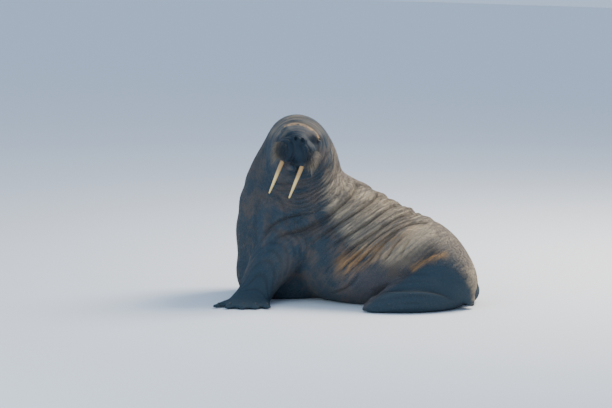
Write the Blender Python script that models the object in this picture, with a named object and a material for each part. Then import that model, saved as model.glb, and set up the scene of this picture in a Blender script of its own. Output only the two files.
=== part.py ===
"""A walrus at rest on the floor, head raised and turned to its left: a still, life-size solid.

Metres, +Z up.  The trunk lies along X with the head towards -X, the animal's left is -Y and
the floor is z = 0.  The flesh is worked out as a smooth field of rounded forms set along
curves, below zero inside.  It is turned into closed solids, and thin straight cuts part it.
"""
from math import cos, radians, sin

import bmesh
import bpy
import numpy as np

# Touching pieces keep this gap, so that no two of them share a face.
GAP = 0.0003

# The trunk and neck, tail first: the middle, half width, half height and the way the back
# faces.  The curve rises through the shoulders and comes round to the animal's left.
TRUNK = (
    ((0.75, 0.00, 0.21), 0.17, 0.165, (0.3, 0.0, 1.0)),
    ((0.62, 0.02, 0.275), 0.25, 0.245, (0.3, 0.0, 1.0)),
    ((0.43, 0.06, 0.325), 0.32, 0.295, (0.3, 0.0, 1.0)),
    ((0.17, 0.09, 0.37), 0.36, 0.335, (0.3, 0.0, 1.0)),
    ((-0.08, 0.10, 0.42), 0.38, 0.385, (0.4, 0.0, 1.0)),
    ((-0.34, 0.08, 0.50), 0.38, 0.41, (0.5, 0.1, 0.85)),
    ((-0.53, 0.04, 0.66), 0.395, 0.37, (0.8, 0.3, 0.5)),
    ((-0.47, 0.01, 0.86), 0.35, 0.31, (0.7, 0.65, 0.25)),
    ((-0.43, -0.03, 1.00), 0.295, 0.245, (0.4, 0.9, 0.3)),
    ((-0.42, -0.07, 1.12), 0.225, 0.19, (0.3, 0.9, 0.4)),
)
TRUNK_LINKS = 30
TRUNK_REACH = 0.20
TRUNK_SOFTNESS = 0.02

# The main folds of the hide, as lines seen from the animal's left front: rightward and upward
# places in the plane square to that view.  Each has its depth and half width, and the first
# two run round the shoulder.
SIDE_TURN = radians(27.5)
SIDE_TILT = radians(7.0)
FOLD_SAMPLES = 24
FOLDS = (
    (0.014, 0.018, ((-0.25, 0.72), (-0.34, 0.70), (-0.46, 0.675), (-0.55, 0.64), (-0.61, 0.60),
                    (-0.645, 0.55), (-0.655, 0.48))),
    (0.022, 0.022, ((0.02, 0.94), (0.00, 0.87), (-0.05, 0.81), (-0.15, 0.72), (-0.26, 0.64),
                    (-0.38, 0.585), (-0.49, 0.565), (-0.58, 0.515), (-0.61, 0.45))),
    (0.020, 0.020, ((0.19, 0.87), (0.155, 0.83), (0.09, 0.775), (-0.02, 0.70), (-0.14, 0.62),
                    (-0.24, 0.54), (-0.33, 0.47))),
    (0.020, 0.020, ((0.36, 0.80), (0.28, 0.77), (0.19, 0.72), (0.07, 0.63), (-0.05, 0.555),
                    (-0.17, 0.47), (-0.27, 0.38))),
    (0.022, 0.020, ((0.46, 0.735), (0.36, 0.71), (0.25, 0.655), (0.14, 0.58), (0.00, 0.48),
                    (-0.14, 0.36), (-0.27, 0.23))),
    (0.014, 0.016, ((0.46, 0.675), (0.36, 0.66), (0.25, 0.607), (0.14, 0.535), (0.03, 0.435),
                    (-0.09, 0.32), (-0.20, 0.21))),
    (0.014, 0.016, ((0.56, 0.64), (0.43, 0.64), (0.32, 0.607), (0.20, 0.53), (0.09, 0.43),
                    (-0.01, 0.33), (-0.11, 0.21))),
    (0.014, 0.016, ((0.32, 0.60), (0.22, 0.52), (0.13, 0.42), (0.04, 0.29))),
)
# The trunk's middle plane, beyond which the folds are mirrored and shallower.
MIDDLE = 0.09
FAR_FOLDS = 0.6

# Flesh that sags on the floor: the breast, the belly and the haunches.
SAG = (
    ((-0.575, 0.05, 0.40), (0.36, 0.36, 0.40)),
    ((-0.60, 0.05, 0.17), (0.345, 0.35, 0.32)),
    ((0.10, 0.06, 0.20), (0.55, 0.40, 0.24)),
    ((0.67, -0.01, 0.16), (0.17, 0.22, 0.17)),
)
SAG_SOFTNESS = 0.15

# The head faces the left of the trunk and a little back, tips up and leans to its own left.
HEAD_AT = np.array((-0.321, -0.226, 1.192))
HEAD_TURN = radians(27.5)
HEAD_UP = radians(6.0)
HEAD_LEAN = radians(14.0)

# Forms of the head in its own frame: forward, left, up from the point between the eyes.
# A form off the middle line stands on both sides.
HEAD_FORMS = (
    ((-0.12, 0.0, -0.03), (0.17, 0.160, 0.125)),
    ((-0.02, 0.0, -0.015), (0.10, 0.125, 0.07)),
    ((-0.01, 0.10, 0.012), (0.06, 0.04, 0.032)),
    ((0.05, 0.0, -0.045), (0.10, 0.07, 0.06)),
    ((0.088, 0.064, -0.12), (0.078, 0.080, 0.088)),
    ((0.085, 0.062, -0.17), (0.062, 0.062, 0.050)),
    ((0.08, 0.0, -0.10), (0.080, 0.085, 0.080)),
    ((0.130, 0.0, -0.035), (0.042, 0.052, 0.028)),
    ((-0.05, 0.105, -0.11), (0.11, 0.07, 0.11)),
    ((-0.05, 0.0, -0.21), (0.13, 0.13, 0.09)),
)
HEAD_SOFTNESS = 0.010
CHIN = ((0.03, 0.0, -0.240), (0.085, 0.062, 0.048))
LIP_SOFTNESS = 0.012
NECK_SOFTNESS = 0.07
ARMPIT_SOFTNESS = 0.07

NOSTRIL = ((0.166, 0.024, -0.034), (0.020, 0.009, 0.012))

EYE_AT = (0.008, 0.120, -0.002)
EYE_RADIUS = 0.019
LID_RADIUS = 0.0245
LID_OPENING = (0.0150, 0.0095)

# A tusk: where its root starts, how far it reaches, its half widths and its slight bend.
TUSK_ROOT = (0.085, 0.072, -0.165)
TUSK_LENGTH = 0.285
TUSK_HALF_WIDTH = 0.0165
TUSK_HALF_DEPTH = 0.0195
TUSK_TIP = 0.30
TUSK_BEND = 0.035
TUSK_LEAN = 0.042
TUSK_RINGS = 8
TUSK_SIDES = 12

# Bristles of the whisker pads, in rows about the middle of each pad: degrees out from straight
# ahead and up from level, lengths from the top row to the bottom one, and how far they droop.
PAD_MIDDLE = (0.088, 0.064, -0.12)
BRISTLE_ROWS = np.linspace(14, -46, 5)
BRISTLE_TURNS = np.linspace(8, 88, 7)
BRISTLE_LENGTHS = (0.028, 0.062)
BRISTLE_RADIUS = 0.0017
BRISTLE_ROOT = 0.009
BRISTLE_DROOP = 0.45

# The flippers: the curve of the limb as for the trunk, mirrored from the left one, and the
# line along the body that they are mirrored about.
LIMB_AXIS = 0.05
ARM = (
    ((-0.36, 0.27, 0.46), 0.19, 0.13, (-0.4, 1.0, 0.2)),
    ((-0.47, 0.37, 0.30), 0.17, 0.115, (-0.4, 1.0, 0.3)),
    ((-0.56, 0.44, 0.15), 0.14, 0.08, (-0.3, 1.0, 0.7)),
    ((-0.58, 0.50, 0.065), 0.125, 0.05, (-0.1, 0.4, 1.0)),
    ((-0.575, 0.58, 0.035), 0.125, 0.032, (0.0, 0.1, 1.0)),
)
FORE_WRIST = (-0.575, 0.54, 0.028)
FORE_DIGITS = ((-18, 0.31), (-8, 0.31), (3, 0.285), (14, 0.26), (26, 0.225))
FORE_SPACING = 0.044
FORE_TURN = 12
DIGIT_ROOT = 0.042
DIGIT_TIP = 0.026
DIGIT_FLATNESS = 0.55
FOOT_UPPER = (
    ((0.76, 0.10, 0.15), 0.13, 0.12, (-0.1, 1.0, 0.3)),
    ((0.67, 0.22, 0.17), 0.155, 0.12, (-0.1, 1.0, 0.5)),
    ((0.575, 0.31, 0.145), 0.13, 0.08, (0.0, 1.0, 0.6)),
    ((0.47, 0.40, 0.095), 0.09, 0.05, (0.0, 1.0, 0.6)),
    ((0.36, 0.475, 0.045), 0.045, 0.028, (0.0, 1.0, 0.6)),
)
FOOT_LOWER = (
    ((0.78, 0.10, 0.09), 0.09, 0.10, (0.0, 1.0, 0.0)),
    ((0.74, 0.24, 0.085), 0.085, 0.09, (0.0, 1.0, 0.0)),
    ((0.65, 0.36, 0.085), 0.085, 0.075, (0.0, 1.0, 0.1)),
    ((0.53, 0.44, 0.07), 0.072, 0.06, (0.0, 1.0, 0.2)),
    ((0.40, 0.505, 0.04), 0.042, 0.04, (0.0, 1.0, 0.3)),
)
TAIL = (
    ((0.78, 0.00, 0.17), 0.09, 0.06, (0.5, 0.0, 1.0)),
    ((0.86, 0.00, 0.12), 0.08, 0.04, (0.8, 0.0, 1.0)),
    ((0.90, 0.00, 0.06), 0.05, 0.022, (1.0, 0.0, 0.6)),
)

# Where the body is parted: a point of each cut and the way it faces, towards the head.
# The first is in the frame of the head, the others in that of the whole.
HEAD_CUT = ((0.0, 0.0, -0.277), (0.54, -0.21, 0.82))
MUZZLE_CUT = ((0.048, 0.0, 0.0), (1.0, 0.0, 0.0))
MOUTH_CUT = ((0.12, 0.0, -0.212), (0.12, 0.0, 1.0))
NECK_CUT = ((-0.50, -0.01, 0.84), (-0.35, -0.20, 1.0))
BREAST_CUT = ((-0.20, 0.09, 0.45), (-1.0, 0.0, 0.35))
HAUNCH_CUT = ((0.44, 0.06, 0.31), (-1.0, 0.0, 0.2))
ARM_CUT = {-1: -0.365, 1: 0.505}

# Mesh cells and triangle counts.
HEAD_BOX = ((-0.86, -0.52, 0.80), (-0.04, 0.40, 1.38))
BODY_BOX = ((-1.05, -0.98, -0.03), (1.0, 1.06, 1.42))
BODY_CELL = 0.016
HEAD_CELL = 0.006
LIMB_CELL = 0.010
TRIANGLES = {"body": 6500, "head": 3150, "hind": 500, "tail": 120}

# Everything is moved by this in the end, so that the middle of the animal's box is at x = y = 0.
TO_MIDDLE = (-0.001, -0.051, 0.0)

COLOURS = {
    "hide": (0.30, 0.24, 0.18),
    "face": (0.20, 0.19, 0.18),
    "flipper": (0.12, 0.14, 0.16),
    "ivory": (0.80, 0.68, 0.42),
    "eye": (0.03, 0.02, 0.02),
}


def unit(vectors):
    """Vectors divided by their lengths."""
    vectors = np.asarray(vectors, float)
    return vectors / np.linalg.norm(vectors, axis=-1, keepdims=True)


def smooth_curve(knots, values, at):
    """A natural cubic curve through rows of values, read at the given places."""
    count = len(knots)
    steps = np.diff(knots)
    matrix = np.eye(count)
    bend = np.zeros_like(values)
    for i in range(1, count - 1):
        matrix[i, i - 1:i + 2] = steps[i - 1], 2 * (steps[i - 1] + steps[i]), steps[i]
        rise = (values[i + 1] - values[i]) / steps[i] - (values[i] - values[i - 1]) / steps[i - 1]
        bend[i] = 6 * rise
    bend = np.linalg.solve(matrix, bend)
    k = np.clip(np.searchsorted(knots, at) - 1, 0, count - 2)
    a = ((knots[k + 1] - at) / steps[k])[:, None]
    b = ((at - knots[k]) / steps[k])[:, None]
    square = (steps[k] ** 2)[:, None]
    bow = ((a ** 3 - a) * bend[k] + (b ** 3 - b) * bend[k + 1]) * square / 6
    return a * values[k] + b * values[k + 1] + bow


def blend(fields, softness):
    """Smooth union of many fields: minus the logarithm of the sum of their exponentials."""
    lowest = fields.min(axis=0)
    return lowest - softness * np.log(np.exp((lowest - fields) / softness).sum(axis=0))


def join(one, other, softness):
    """Smooth union of two fields, rounded only where they come close."""
    near = np.clip(softness - np.abs(one - other), 0, None) / softness
    return np.minimum(one, other) - near * near * softness / 4


def carve(solid, tool, softness):
    """The solid with the tool's inside taken away, its rim rounded."""
    return -join(-solid, tool, softness)


def ellipsoid(points, centre, radii, axes=None):
    """Nearly the distance to an ellipsoid, which may be turned by its axes."""
    local = points - np.asarray(centre)
    if axes is not None:
        local = local @ axes
    local = local / np.asarray(radii)
    first = np.sqrt((local * local).sum(axis=1))
    local = local / np.asarray(radii)
    second = np.sqrt((local * local).sum(axis=1)) + 1e-9
    return first * (first - 1) / second


def set_out(stations, count, side=1, axis=0.0):
    """Ellipsoids spaced evenly along a smooth curve: their middles, half sizes and axes."""
    mirror = np.array((1, side, 1))
    middles = np.array([row[0] for row in stations]) * mirror + (0, axis, 0)
    halves = np.array([row[1:3] for row in stations])
    facing = unit(np.array([row[3] for row in stations]) * mirror)
    steps = np.linalg.norm(np.diff(middles, axis=0), axis=1)
    knots = np.concatenate(((0,), np.cumsum(steps))) / steps.sum()
    at = np.linspace(0, 1, count)
    little = 0.001
    ahead = smooth_curve(knots, middles, np.clip(at + little, 0, 1))
    behind = smooth_curve(knots, middles, np.clip(at - little, 0, 1))
    along = unit(ahead - behind)
    up = smooth_curve(knots, facing, at)
    up = unit(up - (up * along).sum(axis=1)[:, None] * along)
    axes = np.stack((along, np.cross(up, along), up), axis=2)
    return smooth_curve(knots, middles, at), smooth_curve(knots, halves, at), axes


def run_of_forms(points, links, reach, softness):
    """Smooth union of the ellipsoids set out along a curve."""
    fields = [ellipsoid(points, middle, (reach, half[0], half[1]), axes)
              for middle, half, axes in zip(*links)]
    return blend(np.array(fields), softness)


def digit(points, start, end, start_radius, end_radius, flatness):
    """A tapered bar with round ends, pressed flat along Z."""
    squash = np.array((1, 1, 1 / flatness))
    local = (points - start) * squash
    run = (end - start) * squash
    share = np.clip(local @ run / (run @ run), 0, 1)
    offset = local - share[:, None] * run
    radius = start_radius + (end_radius - start_radius) * share
    return (np.sqrt((offset * offset).sum(axis=1)) - radius) * flatness


def head_axes():
    """The head's forward, left and up as columns."""
    forward = np.array((sin(HEAD_TURN), -cos(HEAD_TURN), 0)) * cos(HEAD_UP)
    forward[2] = sin(HEAD_UP)
    level_left = np.array((cos(HEAD_TURN), sin(HEAD_TURN), 0))
    level_up = np.cross(forward, level_left)
    up = level_up * cos(HEAD_LEAN) + level_left * sin(HEAD_LEAN)
    return np.stack((forward, np.cross(up, forward), up), axis=1)


HEAD = head_axes()
TRUNK_RUN = set_out(TRUNK, TRUNK_LINKS)
ARM_RUN = {side: set_out(ARM, 14, side, LIMB_AXIS) for side in (-1, 1)}
UPPER_RUN = {side: set_out(FOOT_UPPER, 12, side, LIMB_AXIS) for side in (-1, 1)}
LOWER_RUN = {side: set_out(FOOT_LOWER, 12, side, LIMB_AXIS) for side in (-1, 1)}
TAIL_RUN = set_out(TAIL, 8)


def head_field(points):
    """Skull, brows, cheeks, whisker pads, nose and lower lip, with the mouth between."""
    local = (points - HEAD_AT) @ HEAD
    local[:, 1] = np.abs(local[:, 1])
    fields = np.array([ellipsoid(local, middle, radii) for middle, radii in HEAD_FORMS])
    field = join(blend(fields, HEAD_SOFTNESS), ellipsoid(local, *CHIN), LIP_SOFTNESS)
    field = join(field, ellipsoid(local, EYE_AT, (LID_RADIUS,) * 3), 0.012)
    return carve(field, ellipsoid(local, *NOSTRIL), 0.004)


def fold_depth(points):
    """How deep the folds of the hide are at each point, worked out by its distance from each
    fold's line as seen from the side.  The far flank mirrors the near one."""
    far = points[:, 1] > MIDDLE
    across = np.where(far, 2 * MIDDLE - points[:, 1], points[:, 1])
    right = points[:, 0] * cos(SIDE_TURN) + across * sin(SIDE_TURN)
    away = across * cos(SIDE_TURN) - points[:, 0] * sin(SIDE_TURN) + 0.70
    seen = np.stack((right, points[:, 2] * cos(SIDE_TILT) + away * sin(SIDE_TILT)), axis=1)
    total = np.zeros(len(points))
    for depth, width, places in FOLDS:
        line = smooth_curve(np.linspace(0, 1, len(places)), np.array(places),
                            np.linspace(0, 1, FOLD_SAMPLES))
        best = np.full(len(points), np.inf)
        share = np.zeros(len(points))
        for number, (start, run) in enumerate(zip(line, np.diff(line, axis=0))):
            t = np.clip((seen - start) @ run / (run @ run), 0, 1)
            gap = ((seen - start - t[:, None] * run) ** 2).sum(axis=1)
            share = np.where(gap < best, (number + t) / (FOLD_SAMPLES - 1), share)
            best = np.minimum(best, gap)
        ends = np.clip(share / 0.12, 0, 1) * np.clip((1 - share) / 0.25, 0, 1)
        total += depth * ends * np.exp(-best / width ** 2)
    return total * np.where(far, FAR_FOLDS, 1)


def body_field(points):
    """The trunk, the neck, the head and the fore flippers."""
    sag = np.array([ellipsoid(points, middle, radii) for middle, radii in SAG])
    field = run_of_forms(points, TRUNK_RUN, TRUNK_REACH, TRUNK_SOFTNESS)
    field = join(field, blend(sag, 0.02), SAG_SOFTNESS)
    shallow = np.abs(field) < 0.08
    field[shallow] += fold_depth(points[shallow])
    near = ((points - HEAD_AT) ** 2).sum(axis=1) < 0.45 ** 2
    if near.any():
        field[near] = join(field[near], head_field(points[near]), NECK_SOFTNESS)
    for side in (-1, 1):
        near = ((points - (-0.45, LIMB_AXIS + 0.5 * side, 0.2)) ** 2).sum(axis=1) < 0.66 ** 2
        if near.any():
            field[near] = join(field[near], fore_field(points[near], side), ARMPIT_SOFTNESS)
    return carve(field, points[:, 2] + 0.004, 0.04)


def fore_field(points, side):
    """A fore flipper: the arm, a flat hand and five digits in its web."""
    fields = [run_of_forms(points, ARM_RUN[side], 0.10, 0.02)]
    wrist = np.array(FORE_WRIST) * (1, side, 1) + (0, LIMB_AXIS, 0)
    for number, (angle, length) in enumerate(FORE_DIGITS):
        turn = radians(angle + FORE_TURN)
        start = wrist + ((number - 2) * FORE_SPACING, 0, 0)
        end = start + length * np.array((sin(turn), side * cos(turn), 0))
        end[2] = 0.015
        fields.append(digit(points, start, end, DIGIT_ROOT, DIGIT_TIP, DIGIT_FLATNESS))
    web = wrist + (0.03, side * 0.14, -0.008)
    fields.append(ellipsoid(points, web, (0.15, 0.15, 0.02)))
    return blend(np.array(fields), 0.010)


def hind_field(points, side):
    """A hind flipper folded forward: its upper half leans on its lower half."""
    upper = run_of_forms(points, UPPER_RUN[side], 0.09, 0.015)
    lower = run_of_forms(points, LOWER_RUN[side], 0.09, 0.015)
    return join(upper, lower, 0.012)


def tail_field(points, side=0):
    """The small flat tail."""
    return run_of_forms(points, TAIL_RUN, 0.05, 0.01)


def fill_pinches(values, least):
    """Fills grid faces whose corners are inside and outside by turns: they would pinch a mesh."""
    for axes in ((0, 1), (0, 2), (1, 2)) * 3:
        turned = np.moveaxis(values, axes, (0, 1))
        near, right = turned[:-1, :-1], turned[1:, :-1]
        left, far = turned[:-1, 1:], turned[1:, 1:]
        rising = (near < 0) & (far < 0) & (right >= 0) & (left >= 0)
        falling = (right < 0) & (left < 0) & (near >= 0) & (far >= 0)
        right[rising] = -least
        near[falling] = -least


def surface(field, low, high, cell):
    """Closed mesh of the zero level in a box: one point for each grid cell that it crosses."""
    low = np.asarray(low, float)
    count = np.ceil((np.asarray(high) - low) / cell).astype(int) + 1
    grid = np.stack(np.meshgrid(*[np.arange(n) for n in count], indexing="ij"), axis=-1)
    points = low + grid.reshape(-1, 3) * cell
    values = np.concatenate([field(part) for part in np.array_split(points, len(points) // 60000 + 1)])
    values = values.reshape(count)
    for axis in range(3):
        ends = [slice(None)] * 3
        for end in (0, -1):
            ends[axis] = end
            values[tuple(ends)] = cell
    fill_pinches(values, cell * 0.1)
    inside = values < 0
    corners = np.array([((n >> 2) & 1, (n >> 1) & 1, n & 1) for n in range(8)])
    filled = sum(inside[tuple(slice(c, n - 1 + c) for c, n in zip(corner, count))].astype(int)
                 for corner in corners)
    mixed = np.argwhere((filled > 0) & (filled < 8))
    number = np.full(filled.shape, -1)
    number[tuple(mixed.T)] = np.arange(len(mixed))
    at_corners = np.stack([values[tuple((mixed + corner).T)] for corner in corners], axis=1)
    total = np.zeros((len(mixed), 3))
    crossings = np.zeros(len(mixed))
    for a in range(8):
        for b in range(a + 1, 8):
            if np.abs(corners[a] - corners[b]).sum() != 1:
                continue
            one, other = at_corners[:, a], at_corners[:, b]
            crosses = (one < 0) != (other < 0)
            share = np.where(crosses, one / np.where(crosses, one - other, 1), 0)
            place = corners[a] + share[:, None] * (corners[b] - corners[a])
            total += np.where(crosses[:, None], place, 0)
            crossings += crosses
    verts = low + (mixed + total / crossings[:, None]) * cell
    faces = []
    for axis in range(3):
        across, over = ((1, 2), (2, 0), (0, 1))[axis]
        before = [slice(None)] * 3
        after = [slice(None)] * 3
        before[axis] = slice(0, -1)
        after[axis] = slice(1, None)
        starts_inside = inside[tuple(before)]
        edges = np.argwhere(starts_inside != inside[tuple(after)])
        quad = []
        for back in ((1, 1), (0, 1), (0, 0), (1, 0)):
            cell_of = edges.copy()
            cell_of[:, across] -= back[0]
            cell_of[:, over] -= back[1]
            quad.append(number[tuple(cell_of.T)])
        quad = np.stack(quad, axis=1)
        turned = ~starts_inside[tuple(edges.T)]
        quad[turned] = quad[turned][:, ::-1]
        faces.append(quad)
    return verts, np.concatenate(faces)


def new_object(name, verts, faces):
    """A mesh object in the scene from arrays of points and faces."""
    mesh = bpy.data.meshes.new(name)
    mesh.from_pydata(np.asarray(verts).tolist(), [], [tuple(map(int, face)) for face in faces])
    piece = bpy.data.objects.new(name, mesh)
    bpy.context.scene.collection.objects.link(piece)
    return piece


def settle(piece):
    """Applies the modifiers of a piece."""
    seen = piece.evaluated_get(bpy.context.evaluated_depsgraph_get())
    mesh = bpy.data.meshes.new_from_object(seen)
    piece.modifiers.clear()
    old = piece.data
    piece.data = mesh
    bpy.data.meshes.remove(old)


def keep_largest(shape):
    """Deletes all but the largest joined surface of an open bmesh."""
    left = set(shape.verts)
    groups = []
    while left:
        group = {left.pop()}
        edge_of_group = list(group)
        while edge_of_group:
            vert = edge_of_group.pop()
            for edge in vert.link_edges:
                other = edge.other_vert(vert)
                if other in left:
                    left.discard(other)
                    group.add(other)
                    edge_of_group.append(other)
        groups.append(group)
    largest = max(groups, key=len)
    scraps = [vert for group in groups if group is not largest for vert in group]
    bmesh.ops.delete(shape, geom=scraps, context="VERTS")


def tidy(piece):
    """Triangles only, one closed surface, its faces outwards."""
    shape = bmesh.new()
    shape.from_mesh(piece.data)
    bmesh.ops.dissolve_degenerate(shape, dist=1e-6, edges=shape.edges)
    bmesh.ops.triangulate(shape, faces=shape.faces)
    keep_largest(shape)
    bmesh.ops.recalc_face_normals(shape, faces=shape.faces)
    shape.to_mesh(piece.data)
    shape.free()


def thin_out(piece, triangles):
    """Merges faces where the surface is flattest, down to the given count."""
    tidy(piece)
    fewer = piece.modifiers.new("fewer", "DECIMATE")
    fewer.ratio = min(1.0, triangles / len(piece.data.polygons))
    settle(piece)
    tidy(piece)


def trim(piece, point, facing):
    """Takes away all that lies on the side of a plane that it faces, and closes the cut."""
    point = np.asarray(point, float)
    facing = unit(facing)
    shape = bmesh.new()
    shape.from_mesh(piece.data)
    for vert in shape.verts:
        height = float(facing @ (np.array(vert.co) - point))
        if abs(height) < 0.0001:
            vert.co = [c - height * f for c, f in zip(vert.co, facing)]
    everything = shape.verts[:] + shape.edges[:] + shape.faces[:]
    bmesh.ops.bisect_plane(shape, geom=everything, dist=1e-6, plane_co=point,
                           plane_no=facing, clear_outer=True)
    rim = [edge for edge in shape.edges if edge.is_boundary]
    bmesh.ops.triangle_fill(shape, edges=rim, use_beauty=True, normal=facing)
    shape.to_mesh(piece.data)
    shape.free()
    tidy(piece)


def copy_of(piece, name):
    """A separate object with its own copy of the mesh."""
    twin = bpy.data.objects.new(name, piece.data.copy())
    bpy.context.scene.collection.objects.link(twin)
    return twin


def grown(piece, by):
    """A copy with each point moved out along its normal."""
    twin = copy_of(piece, piece.name + "_grown")
    normals = [vert.normal.copy() for vert in twin.data.vertices]
    for vert, normal in zip(twin.data.vertices, normals):
        vert.co += normal * by
    return twin


def take_away(piece, tool):
    """Cuts a closed tool out of a piece."""
    cut = piece.modifiers.new("cut", "BOOLEAN")
    cut.operation = "DIFFERENCE"
    cut.object = tool
    settle(piece)
    tidy(piece)


def add_to(piece, other, solver="EXACT"):
    """Fuses closed forms with a piece."""
    fuse = piece.modifiers.new("fuse", "BOOLEAN")
    fuse.operation = "UNION"
    fuse.solver = solver
    fuse.object = other
    settle(piece)
    tidy(piece)


def discard(piece):
    """Removes a helper object."""
    bpy.data.objects.remove(piece, do_unlink=True)


def slice_between(source, name, cuts):
    """A copy of the source trimmed by cuts: point, facing and the side that is kept."""
    piece = copy_of(source, name)
    for point, facing, keep in cuts:
        facing = unit(facing) * keep
        trim(piece, np.asarray(point) + facing * GAP / 2, -facing)
    return piece


def world_cut(cut):
    """A cut given in the head's frame, turned into that of the whole."""
    point, facing = cut
    return HEAD_AT + HEAD @ np.array(point), HEAD @ np.array(facing)


def tusk_solid(name, side, grow):
    """A tapered bar of oval section along a gently bent line, closed at both ends."""
    rings = []
    share = np.linspace(0, 1, TUSK_RINGS)
    length = TUSK_LENGTH + grow
    for t in share:
        down = -length * t if t else grow
        middle = np.array(TUSK_ROOT) * (1, side, 1)
        middle += (TUSK_BEND * 4 * t * (1 - t) * 0.5 + 0.02 * t, -TUSK_LEAN * t, down)
        size = (1 - (1 - TUSK_TIP) * t ** 1.6)
        turn = np.linspace(0, 2 * np.pi, TUSK_SIDES, endpoint=False)
        ring = np.stack(((TUSK_HALF_DEPTH * size + grow) * np.cos(turn),
                         (TUSK_HALF_WIDTH * size + grow) * np.sin(turn),
                         np.zeros(TUSK_SIDES)), axis=1)
        rings.append(middle + ring)
    tip = rings[-1].mean(axis=0) + (0, 0, -0.008)
    root = rings[0].mean(axis=0)
    verts = np.concatenate(rings + [root[None], tip[None]])
    around = np.arange(TUSK_SIDES)
    next_around = (around + 1) % TUSK_SIDES
    faces = []
    for ring in range(TUSK_RINGS - 1):
        a, b = ring * TUSK_SIDES, (ring + 1) * TUSK_SIDES
        faces += np.stack((a + around, b + around, b + next_around, a + next_around), axis=1).tolist()
    first, last = len(verts) - 2, len(verts) - 1
    faces += [(first, i, j) for i, j in zip(around, next_around)]
    end = (TUSK_RINGS - 1) * TUSK_SIDES
    faces += [(last, end + j, end + i) for i, j in zip(around, next_around)]
    piece = new_object(name, HEAD_AT + verts @ HEAD.T, faces)
    tidy(piece)
    return piece


def bristle_root(direction, side):
    """The point where a ray from the middle of a whisker pad leaves it, in the head's frame."""
    middle = np.array(PAD_MIDDLE) * (1, side, 1)
    low, high = 0.0, 0.20
    for _ in range(16):
        half = (low + high) / 2
        point = HEAD_AT + HEAD @ (middle + half * direction)
        inside = head_field(point[None])[0] < 0
        low, high = (half, high) if inside else (low, half)
    return middle + low * direction


def bristles():
    """Every bristle of both pads as one object of many closed, bent and tapered bars."""
    draw = np.random.default_rng(7)
    verts, faces = [], []
    for side in (-1, 1):
        for row, lift in enumerate(BRISTLE_ROWS):
            for turn in BRISTLE_TURNS + (row % 2) * 6:
                turn = radians(turn + draw.uniform(-3, 3))
                tilt = radians(lift + draw.uniform(-3, 3))
                out = np.array((cos(tilt) * cos(turn), side * cos(tilt) * sin(turn), sin(tilt)))
                root = bristle_root(out, side)
                way = unit(out - (0, 0, BRISTLE_DROOP))
                share = row / (len(BRISTLE_ROWS) - 1)
                length = BRISTLE_LENGTHS[0] * (1 - share) + BRISTLE_LENGTHS[1] * share
                length *= draw.uniform(0.85, 1.1)
                cross = unit(np.cross(way, (0, 0, 1)))
                over = np.cross(cross, way)
                corners = (cross, over, -cross, -over)
                start = len(verts)
                for along, thick in ((-BRISTLE_ROOT, 1.0), (length * 0.55, 0.75)):
                    middle = root + way * along
                    verts += [middle + BRISTLE_RADIUS * thick * corner for corner in corners]
                verts.append(root + way * length - (0, 0, 0.12 * length))
                for i in range(4):
                    j = (i + 1) % 4
                    faces.append((start + i, start + 4 + i, start + 4 + j))
                    faces.append((start + i, start + 4 + j, start + j))
                    faces.append((start + 4 + i, start + 8, start + 4 + j))
                faces += [(start, start + 1, start + 2), (start, start + 2, start + 3)]
    piece = new_object("bristles", HEAD_AT + np.array(verts) @ HEAD.T, faces)
    shape = bmesh.new()
    shape.from_mesh(piece.data)
    bmesh.ops.recalc_face_normals(shape, faces=shape.faces)
    shape.to_mesh(piece.data)
    shape.free()
    return piece


def ball(name, centre, radius, rings=8, sides=14):
    """A sphere of the given radius about a point of the head's frame."""
    mesh = bpy.data.meshes.new(name)
    shape = bmesh.new()
    bmesh.ops.create_uvsphere(shape, u_segments=sides, v_segments=rings, radius=radius)
    shape.to_mesh(mesh)
    shape.free()
    piece = bpy.data.objects.new(name, mesh)
    bpy.context.scene.collection.objects.link(piece)
    middle = HEAD_AT + HEAD @ np.array(centre)
    for vert in mesh.vertices:
        vert.co = [c + m for c, m in zip(vert.co, middle)]
    tidy(piece)
    return piece


def gaze(side):
    """The way an eye looks, in the head's frame."""
    return unit((0.55, side * 0.80, 0.10))


def lid_opening(side):
    """The almond-shaped hole between the lids, as a bar that reaches in to the eyeball."""
    out = gaze(side)
    level = unit(np.cross((0, 0, 1), out))
    over = np.cross(out, level)
    turn = np.linspace(0, 2 * np.pi, 20, endpoint=False)
    flat = np.abs(np.sin(turn)) ** 1.2 * np.sign(np.sin(turn))
    ring = LID_OPENING[0] * np.cos(turn)[:, None] * level + LID_OPENING[1] * flat[:, None] * over
    centre = np.array(EYE_AT) * (1, side, 1)
    verts = np.concatenate((centre + ring * 0.6, centre + ring * 1.25 + out * 0.06))
    around = np.arange(20)
    faces = [(i, (i + 1) % 20, 20 + (i + 1) % 20, 20 + i) for i in around]
    faces += [tuple(around[::-1]), tuple(around + 20)]
    piece = new_object("opening", HEAD_AT + verts @ HEAD.T, faces)
    tidy(piece)
    return piece


def paint(piece, colour):
    """Gives a piece its own plain material."""
    material = bpy.data.materials.new(piece.name)
    material.use_nodes = True
    shader = material.node_tree.nodes["Principled BSDF"]
    shader.inputs["Base Color"].default_value = (*COLOURS[colour], 1)
    shader.inputs["Roughness"].default_value = 0.35 if colour in ("ivory", "eye") else 0.75
    shader.inputs["Metallic"].default_value = 0.0
    piece.data.materials.clear()
    piece.data.materials.append(material)
    piece.data.shade_smooth()
    piece.data.set_sharp_from_angle(angle=radians(40))


def limb(name, field, side, low, high, triangles):
    """One flipper or the tail as its own closed solid, flat where it lies on the floor."""
    verts, faces = surface(lambda points: carve(field(points, side), points[:, 2] + 0.002, 0.01),
                           low, high, LIMB_CELL)
    piece = new_object(name, verts, faces)
    thin_out(piece, triangles)
    trim(piece, (0, 0, 0), (0, 0, -1))
    return piece


def arm_cut(side):
    """The upright plane beside the breast that parts a fore flipper from it."""
    return (-0.5, ARM_CUT[side], 0.3), (0, side, 0)


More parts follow.
